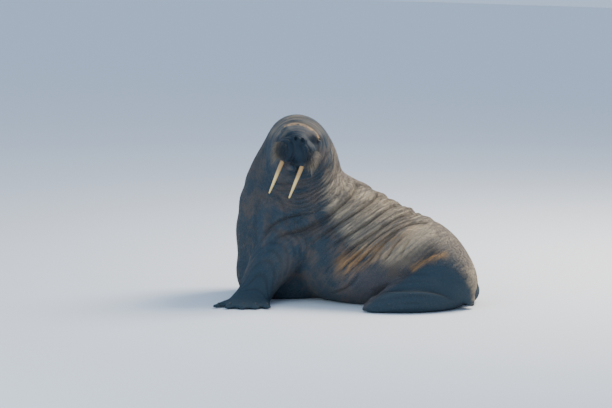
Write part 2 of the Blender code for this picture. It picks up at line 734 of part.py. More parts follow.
def flesh():
    """All the nodes of flesh, as three lists: the folded feet and tail, the head, the rest."""
    feet = []
    for side, word in ((-1, "left"), (1, "right")):
        box = sorted((side * -0.06 + LIMB_AXIS, side * 0.66 + LIMB_AXIS))
        feet.append(limb("hind_flipper_" + word, hind_field, side,
                         (0.24, box[0], -0.02), (1.02, box[1], 0.42), TRIANGLES["hind"]))
    feet.append(limb("tail", tail_field, 0, (0.68, -0.16, -0.02), (1.02, 0.26, 0.30),
                     TRIANGLES["tail"]))

    verts, faces = surface(body_field, *BODY_BOX, BODY_CELL)
    body = new_object("body", verts, faces)
    thin_out(body, TRIANGLES["body"])
    trim(body, (0, 0, 0), (0, 0, -1))

    verts, faces = surface(body_field, *HEAD_BOX, HEAD_CELL)
    fine = new_object("fine", verts, faces)
    throat = world_cut(HEAD_CUT)
    trim(fine, throat[0], -throat[1])
    thin_out(fine, TRIANGLES["head"])

    face, mouth = world_cut(MUZZLE_CUT), world_cut(MOUTH_CUT)
    heads = [slice_between(fine, "head", [(*throat, 1), (*face, -1)]),
             slice_between(fine, "muzzle", [(*throat, 1), (*face, 1), (*mouth, 1)]),
             slice_between(fine, "lower_jaw", [(*throat, 1), (*face, 1), (*mouth, -1)])]
    arms = [arm_cut(-1), arm_cut(1)]
    trunk = [slice_between(body, "neck", [(*throat, -1), (*NECK_CUT, 1)]),
             slice_between(body, "breast", [(*NECK_CUT, -1), (*BREAST_CUT, 1),
                                            (*arms[0], -1), (*arms[1], -1)]),
             slice_between(body, "belly", [(*BREAST_CUT, -1), (*HAUNCH_CUT, 1),
                                           (*arms[0], -1), (*arms[1], -1)]),
             slice_between(body, "haunches", [(*HAUNCH_CUT, -1)])]
    hands = [slice_between(body, "fore_flipper_left", [(*arms[0], 1)]),
             slice_between(body, "fore_flipper_right", [(*arms[1], 1)])]
    for number, form in enumerate(feet):
        tool = grown(form, GAP)
        for piece in trunk[2:] + feet[number + 1:]:
            take_away(piece, tool)
        discard(tool)
    discard(body)
    discard(fine)
    return hands + feet, heads, trunk


def build():
    """The whole animal."""
    limbs, heads, trunk = flesh()
    head, muzzle, jaw = heads
    for side, word in ((-1, "right"), (1, "left")):
        eye_at = np.array(EYE_AT) * (1, side, 1)
        eye = ball("eye_" + word, eye_at, EYE_RADIUS)
        socket = ball("socket", eye_at, EYE_RADIUS + 2 * GAP)
        opening = lid_opening(side)
        add_to(socket, opening)
        discard(opening)
        for piece in (head, muzzle):
            take_away(piece, socket)
        discard(socket)
        paint(eye, "eye")
        tusk = tusk_solid("tusk_" + word, side, 0)
        socket = tusk_solid("tusk_socket", side, GAP)
        for piece in (muzzle, jaw):
            take_away(piece, socket)
        discard(socket)
        paint(tusk, "ivory")
    whiskers = bristles()
    add_to(muzzle, whiskers, "MANIFOLD")
    discard(whiskers)
    for piece in limbs:
        paint(piece, "flipper")
    for piece in heads:
        paint(piece, "face")
    for piece in trunk:
        paint(piece, "hide")
    for piece in bpy.data.objects:
        for vert in piece.data.vertices:
            vert.co = [c + m for c, m in zip(vert.co, TO_MIDDLE)]


for old in list(bpy.data.objects):
    bpy.data.objects.remove(old, do_unlink=True)
build()
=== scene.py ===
"""The looks of the walrus: hide, eyes, tusks, bristles, nails and short hair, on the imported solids."""
from math import cos, pi, radians, sin

import bmesh
import bpy
import numpy as np
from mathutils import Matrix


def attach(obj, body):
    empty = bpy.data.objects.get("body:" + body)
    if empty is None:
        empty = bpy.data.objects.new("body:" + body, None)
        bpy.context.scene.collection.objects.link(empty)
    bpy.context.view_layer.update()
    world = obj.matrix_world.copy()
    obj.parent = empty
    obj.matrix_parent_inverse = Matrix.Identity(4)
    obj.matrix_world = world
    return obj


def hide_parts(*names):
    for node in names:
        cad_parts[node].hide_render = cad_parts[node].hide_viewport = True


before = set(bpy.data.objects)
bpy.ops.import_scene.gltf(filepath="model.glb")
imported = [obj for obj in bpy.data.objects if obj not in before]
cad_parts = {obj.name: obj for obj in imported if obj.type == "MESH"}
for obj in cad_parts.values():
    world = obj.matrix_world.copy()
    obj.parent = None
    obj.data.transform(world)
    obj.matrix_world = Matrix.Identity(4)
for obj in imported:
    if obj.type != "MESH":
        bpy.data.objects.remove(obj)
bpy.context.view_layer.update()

# The view, the floor and the light.
# The photograph was taken from far off, from the animal's left and a little ahead of it,
# with the eye hardly above its back.  The floor is a plain pale sheet, and two broad lamps
# and a pale even sky give soft light: warmer from behind the rump, cooler in front.
VIEW_TURN = radians(27.5)
VIEW_TILT = radians(7.0)
VIEW_DISTANCE = 25.0
PICTURE_WIDTH = 612 / 140
SENSOR_WIDTH = 36
AIM_RIGHT = -0.35
AIM_UP = 0.771
RIGHT = np.array((cos(VIEW_TURN), sin(VIEW_TURN), 0.0))
AWAY = np.array((-sin(VIEW_TURN), cos(VIEW_TURN), 0.0))
UPWARD = np.array((0, 0, cos(VIEW_TILT))) + AWAY * sin(VIEW_TILT)
BACKWARD = np.array((0, 0, sin(VIEW_TILT))) - AWAY * cos(VIEW_TILT)
NEAR_EDGE = 0.70 * sin(VIEW_TILT)

# What the animal is moved by from where it is set out, as in the solids.
TO_MIDDLE = np.array((-0.001, -0.051, 0.0))

aim = AIM_RIGHT * RIGHT + (AIM_UP - NEAR_EDGE) * UPWARD + TO_MIDDLE
camera = bpy.data.objects.new("camera", bpy.data.cameras.new("camera"))
bpy.context.scene.collection.objects.link(camera)
camera.location = aim + VIEW_DISTANCE * BACKWARD
camera.rotation_euler = (pi / 2 - VIEW_TILT, 0, VIEW_TURN)
camera.data.sensor_width = SENSOR_WIDTH
camera.data.lens = SENSOR_WIDTH * VIEW_DISTANCE / PICTURE_WIDTH
camera.data.clip_end = 200
bpy.context.scene.camera = camera


class Wire:
    """A number in a shader: sums and products of it add Math nodes."""

    def __init__(self, finish, socket):
        self.finish = finish
        self.socket = socket

    def math(self, operation, *values):
        return self.finish.node("Math", {"operation": operation}, *values)

    def __add__(self, other):
        return self.math("ADD", self, other)

    def __radd__(self, other):
        return self.math("ADD", other, self)

    def __sub__(self, other):
        return self.math("SUBTRACT", self, other)

    def __rsub__(self, other):
        return self.math("SUBTRACT", other, self)

    def __mul__(self, other):
        return self.math("MULTIPLY", self, other)

    def __rmul__(self, other):
        return self.math("MULTIPLY", other, self)


class Finish:
    """A material under construction: its nodes are added by one method."""

    def __init__(self, name, **constants):
        self.material = bpy.data.materials.new(name)
        self.material.use_nodes = True
        self.tree = self.material.node_tree
        self.shader = self.tree.nodes["Principled BSDF"]
        for socket, value in constants.items():
            self.shader.inputs[socket.replace("_", " ")].default_value = value

    def node(self, kind, settings=None, *values, output=0, **named):
        """Adds a node, sets it up, fills its sockets in order or by name, returns an output."""
        node = self.tree.nodes.new("ShaderNode" + kind)
        for key, value in (settings or {}).items():
            setattr(node, key, value)
        slots = [slot for slot in node.inputs if slot.enabled]
        filled = list(zip(slots, values))
        filled += [(self.slot(slots, name), value) for name, value in named.items()]
        for slot, value in filled:
            if isinstance(value, Wire):
                self.tree.links.new(value.socket, slot)
            elif value is not None:
                slot.default_value = value
        outlets = [outlet for outlet in node.outputs if outlet.enabled]
        return Wire(self, outlets[output])

    @staticmethod
    def slot(slots, name):
        """The socket of that name, in words joined by underlines."""
        return next(slot for slot in slots if slot.name == name.replace("_", " "))

    def place(self):
        """Object coordinates, in metres."""
        return self.node("TexCoord", output=3)

    def attribute(self, name, output=2):
        """A value stored on the mesh: as a number, or with output 1 as a vector."""
        return self.node("Attribute", {"attribute_name": name}, output=output)

    def noise(self, at, scale, detail=3.0, rough=0.5):
        """Cloudy noise between 0 and 1."""
        return self.node("TexNoise", None, Vector=at, Scale=scale, Detail=detail,
                         Roughness=rough)

    def ramp(self, value, low, high):
        """0 below the first number, 1 above the second, smooth between."""
        return self.node("MapRange", {"interpolation_type": "SMOOTHSTEP"}, Value=value,
                         From_Min=low, From_Max=high)

    def mix(self, share, one, other):
        """One colour turned into the other by a share."""
        colours = [c if isinstance(c, Wire) else (*c, 1) for c in (one, other)]
        return self.node("Mix", {"data_type": "RGBA"}, share, *colours)

    def stretch(self, vector, by):
        """A vector scaled along each axis."""
        return self.node("VectorMath", {"operation": "MULTIPLY"}, vector, by)

    def set(self, **values):
        """Links values to the shader's own sockets."""
        for name, value in values.items():
            self.tree.links.new(value.socket, self.shader.inputs[name.replace("_", " ")])

    def bump(self, height, distance, strength=1.0, under=None):
        """A bumped normal, over another one if given."""
        return self.node("Bump", None, Strength=strength, Distance=distance, Height=height,
                         Normal=under)


def new_mesh(name, verts, faces):
    """A piece from arrays of points and faces."""
    mesh = bpy.data.meshes.new(name)
    faces = np.asarray(faces)
    mesh.vertices.add(len(verts))
    mesh.vertices.foreach_set("co", np.asarray(verts, np.float32).ravel())
    mesh.loops.add(faces.size)
    mesh.loops.foreach_set("vertex_index", faces.ravel().astype(np.int32))
    mesh.polygons.add(len(faces))
    sides = faces.shape[1]
    mesh.polygons.foreach_set("loop_start", np.arange(0, faces.size, sides, dtype=np.int32))
    mesh.polygons.foreach_set("loop_total", np.full(len(faces), sides, np.int32))
    mesh.update(calc_edges=True)
    mesh.polygons.foreach_set("use_smooth", np.full(len(faces), True))
    piece = bpy.data.objects.new(name, mesh)
    bpy.context.scene.collection.objects.link(piece)
    return piece


FLOOR_HALF = 30.0
FLOOR_LEVEL = -0.001
FLOOR_COLOUR = (0.78, 0.80, 0.83, 1)
floor_corners = [(FLOOR_HALF * x, FLOOR_HALF * y, FLOOR_LEVEL)
                 for x, y in ((-1, -1), (1, -1), (1, 1), (-1, 1))]
floor = new_mesh("floor", floor_corners, [(0, 1, 2, 3)])
pale_floor = Finish("pale_floor", Base_Color=FLOOR_COLOUR, Roughness=0.9)
floor.data.materials.append(pale_floor.material)

LAMPS_ABOUT = 0.6
SKY_COLOUR = (0.56, 0.73, 1.0, 1)
SKY_STRENGTH = 0.95


def lamp(name, azimuth, height, distance, size, power, colour):
    """A square lamp that faces the middle of the animal, seen from the camera's azimuth."""
    turn = VIEW_TURN + radians(azimuth)
    light = bpy.data.lights.new(name, "AREA")
    light.size = size
    light.energy = power
    light.color = colour
    piece = bpy.data.objects.new(name, light)
    bpy.context.scene.collection.objects.link(piece)
    tilt = radians(height)
    out = np.array((sin(turn) * cos(tilt), -cos(turn) * cos(tilt), sin(tilt)))
    piece.location = out * distance + (0, 0, LAMPS_ABOUT)
    piece.rotation_euler = (pi / 2 - tilt, 0, turn)


lamp("key_lamp", azimuth=118, height=50, distance=7.0, size=3.5, power=1000,
     colour=(1.0, 0.90, 0.76))
lamp("fill_lamp", azimuth=-40, height=14, distance=8.0, size=6.0, power=330,
     colour=(0.72, 0.88, 1.0))
world = bpy.data.worlds.new("sky")
world.use_nodes = True
backdrop = world.node_tree.nodes["Background"]
backdrop.inputs["Color"].default_value = SKY_COLOUR
backdrop.inputs["Strength"].default_value = SKY_STRENGTH
bpy.context.scene.world = world


# The hide.
# One skin over all the nodes of flesh: thick, dry and folded over blubber.  It is the zero
# level of a field of rounded forms, the same as in the solids and a coat's depth inside
# them, closed as one surface; folds, lids and wrinkles are then pressed into it.
COAT_DEPTH = 0.003

TRUNK = (
    ((0.75, 0.00, 0.21), 0.17, 0.165, (0.3, 0.0, 1.0)),
    ((0.62, 0.02, 0.275), 0.25, 0.245, (0.3, 0.0, 1.0)),
    ((0.43, 0.06, 0.325), 0.32, 0.295, (0.3, 0.0, 1.0)),
    ((0.17, 0.09, 0.37), 0.36, 0.335, (0.3, 0.0, 1.0)),
    ((-0.08, 0.10, 0.42), 0.38, 0.385, (0.4, 0.0, 1.0)),
    ((-0.34, 0.08, 0.50), 0.38, 0.41, (0.5, 0.1, 0.85)),
    ((-0.53, 0.04, 0.66), 0.395, 0.37, (0.8, 0.3, 0.5)),
    ((-0.47, 0.01, 0.86), 0.35, 0.31, (0.7, 0.65, 0.25)),
    ((-0.43, -0.03, 1.00), 0.295, 0.245, (0.4, 0.9, 0.3)),
    ((-0.42, -0.07, 1.12), 0.225, 0.19, (0.3, 0.9, 0.4)),
)
SAG = (
    ((-0.575, 0.05, 0.40), (0.36, 0.36, 0.40)),
    ((-0.60, 0.05, 0.17), (0.345, 0.35, 0.32)),
    ((0.10, 0.06, 0.20), (0.55, 0.40, 0.24)),
    ((0.67, -0.01, 0.16), (0.17, 0.22, 0.17)),
)
HEAD_AT = np.array((-0.321, -0.226, 1.192))
HEAD_TURN = radians(27.5)
HEAD_UP = radians(6.0)
HEAD_LEAN = radians(14.0)
HEAD_FORMS = (
    ((-0.12, 0.0, -0.03), (0.17, 0.160, 0.125)),
    ((-0.02, 0.0, -0.015), (0.10, 0.125, 0.07)),
    ((-0.01, 0.10, 0.012), (0.06, 0.04, 0.032)),
    ((0.05, 0.0, -0.045), (0.10, 0.07, 0.06)),
    ((0.088, 0.064, -0.12), (0.078, 0.080, 0.088)),
    ((0.085, 0.062, -0.17), (0.062, 0.062, 0.050)),
    ((0.08, 0.0, -0.10), (0.080, 0.085, 0.080)),
    ((0.130, 0.0, -0.035), (0.042, 0.052, 0.028)),
    ((-0.05, 0.105, -0.11), (0.11, 0.07, 0.11)),
    ((-0.05, 0.0, -0.21), (0.13, 0.13, 0.09)),
)
CHIN = ((0.03, 0.0, -0.240), (0.085, 0.062, 0.048))
NOSTRIL = ((0.166, 0.024, -0.034), (0.020, 0.009, 0.012))
EYE_AT = np.array((0.008, 0.120, -0.002))
EYE_RADIUS = 0.019
LID_RADIUS = 0.0245
LIMB_AXIS = 0.05
MUZZLE_AT = (0.10, 0.0, -0.10)
ARM = (
    ((-0.36, 0.27, 0.46), 0.19, 0.13, (-0.4, 1.0, 0.2)),
    ((-0.47, 0.37, 0.30), 0.17, 0.115, (-0.4, 1.0, 0.3)),
    ((-0.56, 0.44, 0.15), 0.14, 0.08, (-0.3, 1.0, 0.7)),
    ((-0.58, 0.50, 0.065), 0.125, 0.05, (-0.1, 0.4, 1.0)),
    ((-0.575, 0.58, 0.035), 0.125, 0.032, (0.0, 0.1, 1.0)),
)
FORE_WRIST = (-0.575, 0.54, 0.028)
FORE_DIGITS = ((-18, 0.31), (-8, 0.31), (3, 0.285), (14, 0.26), (26, 0.225))
FORE_SPACING = 0.044
FORE_TURN = 12
DIGIT_HEIGHT = 0.015
DIGIT_RADII = (0.042, 0.026)
DIGIT_FLATNESS = 0.55
WEB_OFF = (0.03, 0.14, -0.008)
WEB_RADII = (0.15, 0.15, 0.02)
FOOT_UPPER = (
    ((0.76, 0.10, 0.15), 0.13, 0.12, (-0.1, 1.0, 0.3)),
    ((0.67, 0.22, 0.17), 0.155, 0.12, (-0.1, 1.0, 0.5)),
    ((0.575, 0.31, 0.145), 0.13, 0.08, (0.0, 1.0, 0.6)),
    ((0.47, 0.40, 0.095), 0.09, 0.05, (0.0, 1.0, 0.6)),
    ((0.36, 0.475, 0.045), 0.045, 0.028, (0.0, 1.0, 0.6)),
)
FOOT_LOWER = (
    ((0.78, 0.10, 0.09), 0.09, 0.10, (0.0, 1.0, 0.0)),
    ((0.74, 0.24, 0.085), 0.085, 0.09, (0.0, 1.0, 0.0)),
    ((0.65, 0.36, 0.085), 0.085, 0.075, (0.0, 1.0, 0.1)),
    ((0.53, 0.44, 0.07), 0.072, 0.06, (0.0, 1.0, 0.2)),
    ((0.40, 0.505, 0.04), 0.042, 0.04, (0.0, 1.0, 0.3)),
)
TAIL = (
    ((0.78, 0.00, 0.17), 0.09, 0.06, (0.5, 0.0, 1.0)),
    ((0.86, 0.00, 0.12), 0.08, 0.04, (0.8, 0.0, 1.0)),
    ((0.90, 0.00, 0.06), 0.05, 0.022, (1.0, 0.0, 0.6)),
)
SKIN_BOX = ((-1.02, -0.90, -0.04), (1.02, 1.0, 1.40))
SKIN_CELL = 0.0179


def unit(vectors):
    """Vectors divided by their lengths."""
    vectors = np.asarray(vectors, float)
    return vectors / (np.linalg.norm(vectors, axis=-1, keepdims=True) + 1e-12)


def smooth_curve(knots, values, at):
    """A natural cubic curve through rows of values: (a^3-a) and (b^3-b) weigh its bends."""
    count = len(knots)
    steps = np.diff(knots)
    matrix = np.eye(count)
    bend = np.zeros_like(values)
    for i in range(1, count - 1):
        matrix[i, i - 1:i + 2] = steps[i - 1], 2 * (steps[i - 1] + steps[i]), steps[i]
        rise = (values[i + 1] - values[i]) / steps[i] - (values[i] - values[i - 1]) / steps[i - 1]
        bend[i] = 6 * rise
    bend = np.linalg.solve(matrix, bend)
    k = np.clip(np.searchsorted(knots, at) - 1, 0, count - 2)
    a = ((knots[k + 1] - at) / steps[k])[:, None]
    b = ((at - knots[k]) / steps[k])[:, None]
    square = (steps[k] ** 2)[:, None]
    bow = ((a ** 3 - a) * bend[k] + (b ** 3 - b) * bend[k + 1]) * square / 6
    return a * values[k] + b * values[k + 1] + bow


def blend(fields, softness):
    """Smooth union of many fields: minus the logarithm of the sum of their exponentials."""
    lowest = fields.min(axis=0)
    return lowest - softness * np.log(np.exp((lowest - fields) / softness).sum(axis=0))


def join(one, other, softness):
    """Smooth union of two fields: the lesser, less (s-|a-b|)^2/4s where they come close."""
    near = np.clip(softness - np.abs(one - other), 0, None) / softness
    return np.minimum(one, other) - near * near * softness / 4


def carve(solid, tool, softness):
    """The solid with the tool's inside taken away, its rim rounded."""
    return -join(-solid, tool, softness)


def ellipsoid(points, centre, radii, axes=None):
    """Nearly the distance to an ellipsoid: k(k-1)/m, k = |p/r| and m = |p/r^2|."""
    local = points - np.asarray(centre)
    if axes is not None:
        local = local @ axes
    local = local / np.asarray(radii)
    first = np.sqrt((local * local).sum(axis=1))
    local = local / np.asarray(radii)
    second = np.sqrt((local * local).sum(axis=1)) + 1e-9
    return first * (first - 1) / second


def set_out(stations, count, side=1, axis=0.0):
    """Ellipsoids spaced evenly along a smooth curve: their middles, half sizes and axes."""
    mirror = np.array((1, side, 1))
    middles = np.array([row[0] for row in stations]) * mirror + (0, axis, 0)
    halves = np.array([row[1:3] for row in stations])
    facing = unit(np.array([row[3] for row in stations]) * mirror)
    steps = np.linalg.norm(np.diff(middles, axis=0), axis=1)
    knots = np.concatenate(((0,), np.cumsum(steps))) / steps.sum()
    at = np.linspace(0, 1, count)
    ahead = smooth_curve(knots, middles, np.clip(at + 0.001, 0, 1))
    behind = smooth_curve(knots, middles, np.clip(at - 0.001, 0, 1))
    along = unit(ahead - behind)
    up = smooth_curve(knots, facing, at)
    up = unit(up - (up * along).sum(axis=1)[:, None] * along)
    axes = np.stack((along, np.cross(up, along), up), axis=2)
    return smooth_curve(knots, middles, at), smooth_curve(knots, halves, at), axes


def run_of_forms(points, links, reach, softness):
    """Smooth union of the ellipsoids set out along a curve."""
    fields = [ellipsoid(points, middle, (reach, half[0], half[1]), axes)
              for middle, half, axes in zip(*links)]
    return blend(np.array(fields), softness)


def digit(points, start, end, start_radius, end_radius, flatness):
    """A tapered bar with round ends, pressed flat along Z: distance less a growing radius."""
    squash = np.array((1, 1, 1 / flatness))
    local = (points - start) * squash
    run = (end - start) * squash
    share = np.clip(local @ run / (run @ run), 0, 1)
    offset = local - share[:, None] * run
    radius = start_radius + (end_radius - start_radius) * share
    return (np.sqrt((offset * offset).sum(axis=1)) - radius) * flatness


forward = np.array((sin(HEAD_TURN), -cos(HEAD_TURN), 0)) * cos(HEAD_UP) + (0, 0, sin(HEAD_UP))
level_left = np.array((cos(HEAD_TURN), sin(HEAD_TURN), 0))
head_up = np.cross(forward, level_left) * cos(HEAD_LEAN) + level_left * sin(HEAD_LEAN)
HEAD = np.stack((forward, np.cross(head_up, forward), head_up), axis=1)
TRUNK_RUN = set_out(TRUNK, 30)
ARM_RUN = {side: set_out(ARM, 14, side, LIMB_AXIS) for side in (-1, 1)}
UPPER_RUN = {side: set_out(FOOT_UPPER, 12, side, LIMB_AXIS) for side in (-1, 1)}
LOWER_RUN = {side: set_out(FOOT_LOWER, 12, side, LIMB_AXIS) for side in (-1, 1)}
TAIL_RUN = set_out(TAIL, 8)


def to_head(points):
    """Points in the head's frame: forward, left and up from between the eyes."""
    return (points - HEAD_AT) @ HEAD


def head_field(points):
    """Skull, brows, cheeks, whisker pads, nose and lower lip, with the mouth between."""
    local = to_head(points)
    local[:, 1] = np.abs(local[:, 1])
    fields = np.array([ellipsoid(local, middle, radii) for middle, radii in HEAD_FORMS])
    field = join(blend(fields, 0.010), ellipsoid(local, *CHIN), 0.012)
    field = join(field, ellipsoid(local, EYE_AT, (LID_RADIUS,) * 3), 0.012)
    return carve(field, ellipsoid(local, *NOSTRIL), 0.004)


def digit_ends(side):
    """Start and end of each digit of a fore flipper."""
    wrist = np.array(FORE_WRIST) * (1, side, 1) + (0, LIMB_AXIS, 0)
    for number, (angle, length) in enumerate(FORE_DIGITS):
        turn = radians(angle + FORE_TURN)
        start = wrist + ((number - 2) * FORE_SPACING, 0, 0)
        end = start + length * np.array((sin(turn), side * cos(turn), 0))
        end[2] = DIGIT_HEIGHT
        yield start, end


def fore_field(points, side):
    """A fore flipper: the arm, a flat hand and five digits in its web."""
    fields = [run_of_forms(points, ARM_RUN[side], 0.10, 0.02)]
    for start, end in digit_ends(side):
        fields.append(digit(points, start, end, *DIGIT_RADII, DIGIT_FLATNESS))
    web = (np.array(FORE_WRIST) + WEB_OFF) * (1, side, 1) + (0, LIMB_AXIS, 0)
    fields.append(ellipsoid(points, web, WEB_RADII))
    return blend(np.array(fields), 0.010)


def hind_field(points, side):
    """A hind flipper folded forward: its upper half leans on its lower half."""
    upper = run_of_forms(points, UPPER_RUN[side], 0.09, 0.015)
    lower = run_of_forms(points, LOWER_RUN[side], 0.09, 0.015)
    return join(upper, lower, 0.012)


def flesh(points):
    """The whole animal, smooth: below zero inside the skin."""
    sag = np.array([ellipsoid(points, middle, radii) for middle, radii in SAG])
    field = join(run_of_forms(points, TRUNK_RUN, 0.20, 0.02), blend(sag, 0.02), 0.15)
    parts = [(head_field, HEAD_AT, 0.45, 0.07),
             (lambda near: run_of_forms(near, TAIL_RUN, 0.05, 0.01), (0.85, 0, 0.1), 0.4, 0.03)]
    for side in (-1, 1):
        parts.append((lambda near, side=side: fore_field(near, side),
                      (-0.45, LIMB_AXIS + 0.5 * side, 0.2), 0.66, 0.07))
        parts.append((lambda near, side=side: hind_field(near, side),
                      (0.55, LIMB_AXIS + 0.36 * side, 0.15), 0.66, 0.015))
    for part, middle, reach, softness in parts:
        near = ((points - middle) ** 2).sum(axis=1) < reach ** 2
        if near.any():
            field[near] = join(field[near], part(points[near]), softness)
    return carve(field, points[:, 2] + 0.002, 0.012) + COAT_DEPTH


def in_parts(field, points):
    """A field at many points, a piece at a time to spare memory."""
    parts = np.array_split(points, len(points) // 50000 + 1)
    return np.concatenate([field(part) for part in parts])


def surface(field, low, high, cell, block=8):
    """Closed mesh of a field's zero level: one point for each grid cell that it crosses, the
    mean of its crossings.  Only blocks near the level are worked out in full."""
    low = np.asarray(low, float)
    blocks = np.ceil((np.asarray(high) - low) / (cell * block)).astype(int)
    index = np.stack(np.meshgrid(*[np.arange(n) for n in blocks], indexing="ij"), axis=-1)
    index = index.reshape(-1, 3)
    rough = in_parts(field, low + (index + 0.5) * block * cell)
    values = rough.reshape(blocks)
    for axis in range(3):
        values = np.repeat(values, block, axis)
    values = np.pad(values, ((0, 1),) * 3, mode="edge")
    known = np.zeros(values.shape, bool)
    for i, j, k in index[np.abs(rough) < 1.3 * block * cell] * block:
        known[i:i + block + 1, j:j + block + 1, k:k + block + 1] = True
    values[known] = in_parts(field, low + np.argwhere(known) * cell)
    count = values.shape
    for axes in ((0, 1), (0, 2), (1, 2)) * 3:
        turned = np.moveaxis(values, axes, (0, 1))
        near, right = turned[:-1, :-1], turned[1:, :-1]
        left, far = turned[:-1, 1:], turned[1:, 1:]
        rising = (near < 0) & (far < 0) & (right >= 0) & (left >= 0)
        falling = (right < 0) & (left < 0) & (near >= 0) & (far >= 0)
        right[rising] = -cell * 0.1
        near[falling] = -cell * 0.1
    inside = values < 0
    corners = np.array([((n >> 2) & 1, (n >> 1) & 1, n & 1) for n in range(8)])
    filled = sum(inside[tuple(slice(c, n - 1 + c) for c, n in zip(corner, count))].astype(int)
                 for corner in corners)
    mixed = np.argwhere((filled > 0) & (filled < 8))
    number = np.full(filled.shape, -1)
    number[tuple(mixed.T)] = np.arange(len(mixed))
    at_corners = np.stack([values[tuple((mixed + corner).T)] for corner in corners], axis=1)
    total = np.zeros((len(mixed), 3))
    crossings = np.zeros(len(mixed))
    for a in range(8):
        for b in range(a + 1, 8):
            if np.abs(corners[a] - corners[b]).sum() != 1:
                continue
            one, other = at_corners[:, a], at_corners[:, b]
            crosses = (one < 0) != (other < 0)
            share = np.where(crosses, one / np.where(crosses, one - other, 1), 0)
            place = corners[a] + share[:, None] * (corners[b] - corners[a])
            total += np.where(crosses[:, None], place, 0)
            crossings += crosses
    verts = low + (mixed + total / crossings[:, None]) * cell
    faces = []
    for axis in range(3):
        across, over = ((1, 2), (2, 0), (0, 1))[axis]
        before = [slice(None)] * 3
        after = [slice(None)] * 3
        before[axis] = slice(0, -1)
        after[axis] = slice(1, None)
        starts_inside = inside[tuple(before)]
        edges = np.argwhere(starts_inside != inside[tuple(after)])
        quad = []
        for back in ((1, 1), (0, 1), (0, 0), (1, 0)):
            cell_of = edges.copy()
            cell_of[:, across] -= back[0]
            cell_of[:, over] -= back[1]
            quad.append(number[tuple(cell_of.T)])
        quad = np.stack(quad, axis=1)
        turned = ~starts_inside[tuple(edges.T)]
        quad[turned] = quad[turned][:, ::-1]
        faces.append(quad)
    return verts, np.concatenate(faces)


def slope(field, points, step=0.0015):
    """Value and gradient of a field, from its values at the corners of a small tetrahedron."""
    corners = np.array(((1, 1, 1), (1, -1, -1), (-1, 1, -1), (-1, -1, 1)), float)
    values = np.array([in_parts(field, points + step * corner) for corner in corners])
    gradient = (values[:, :, None] * corners[:, None, :]).sum(axis=0) / (4 * step)
    return values.mean(axis=0), gradient


def settle(points, times):
    """Moves points on to the skin along its slope: p - f g / |g|^2."""
    for _ in range(times):
        value, gradient = slope(flesh, points)
        points = points - (value / ((gradient ** 2).sum(axis=1) + 1e-9))[:, None] * gradient
    return points


def seen(points):
    """Rightward and upward places in the plane square to the view.  The far flank takes those
    of its mirror image."""
    across = np.where(points[:, 1] > MIDDLE, 2 * MIDDLE - points[:, 1], points[:, 1])
    near = np.stack((points[:, 0], across, points[:, 2]), axis=1)
    return np.stack((near @ RIGHT, near @ UPWARD + NEAR_EDGE), axis=1)


def beside(places, line, samples=28):
    """Distance of places from a curve through a few points, the share of the curve that they
    lie at, and 1 or -1 for the side."""
    line = smooth_curve(np.linspace(0, 1, len(line)), np.array(line),
                        np.linspace(0, 1, samples))
    best = np.full(len(places), np.inf)
    share = np.zeros(len(places))
    side = np.zeros(len(places))
    for number, (start, run) in enumerate(zip(line, np.diff(line, axis=0))):
        off = places - start
        t = np.clip(off @ run / (run @ run), 0, 1)
        gap = ((off - t[:, None] * run) ** 2).sum(axis=1)
        closer = gap < best
        share[closer] = ((number + t) / (samples - 1))[closer]
        side[closer] = np.sign(run[0] * off[:, 1] - run[1] * off[:, 0])[closer]
        best = np.minimum(best, gap)
    return np.sqrt(best), share, side


def step(value, low, high):
    """0 below the first number, 1 above the second, t^2 (3 - 2t) between."""
    t = np.clip((value - low) / (high - low), 0, 1)
    return t * t * (3 - 2 * t)


MIDDLE = 0.09
FAR_FOLDS = 0.65
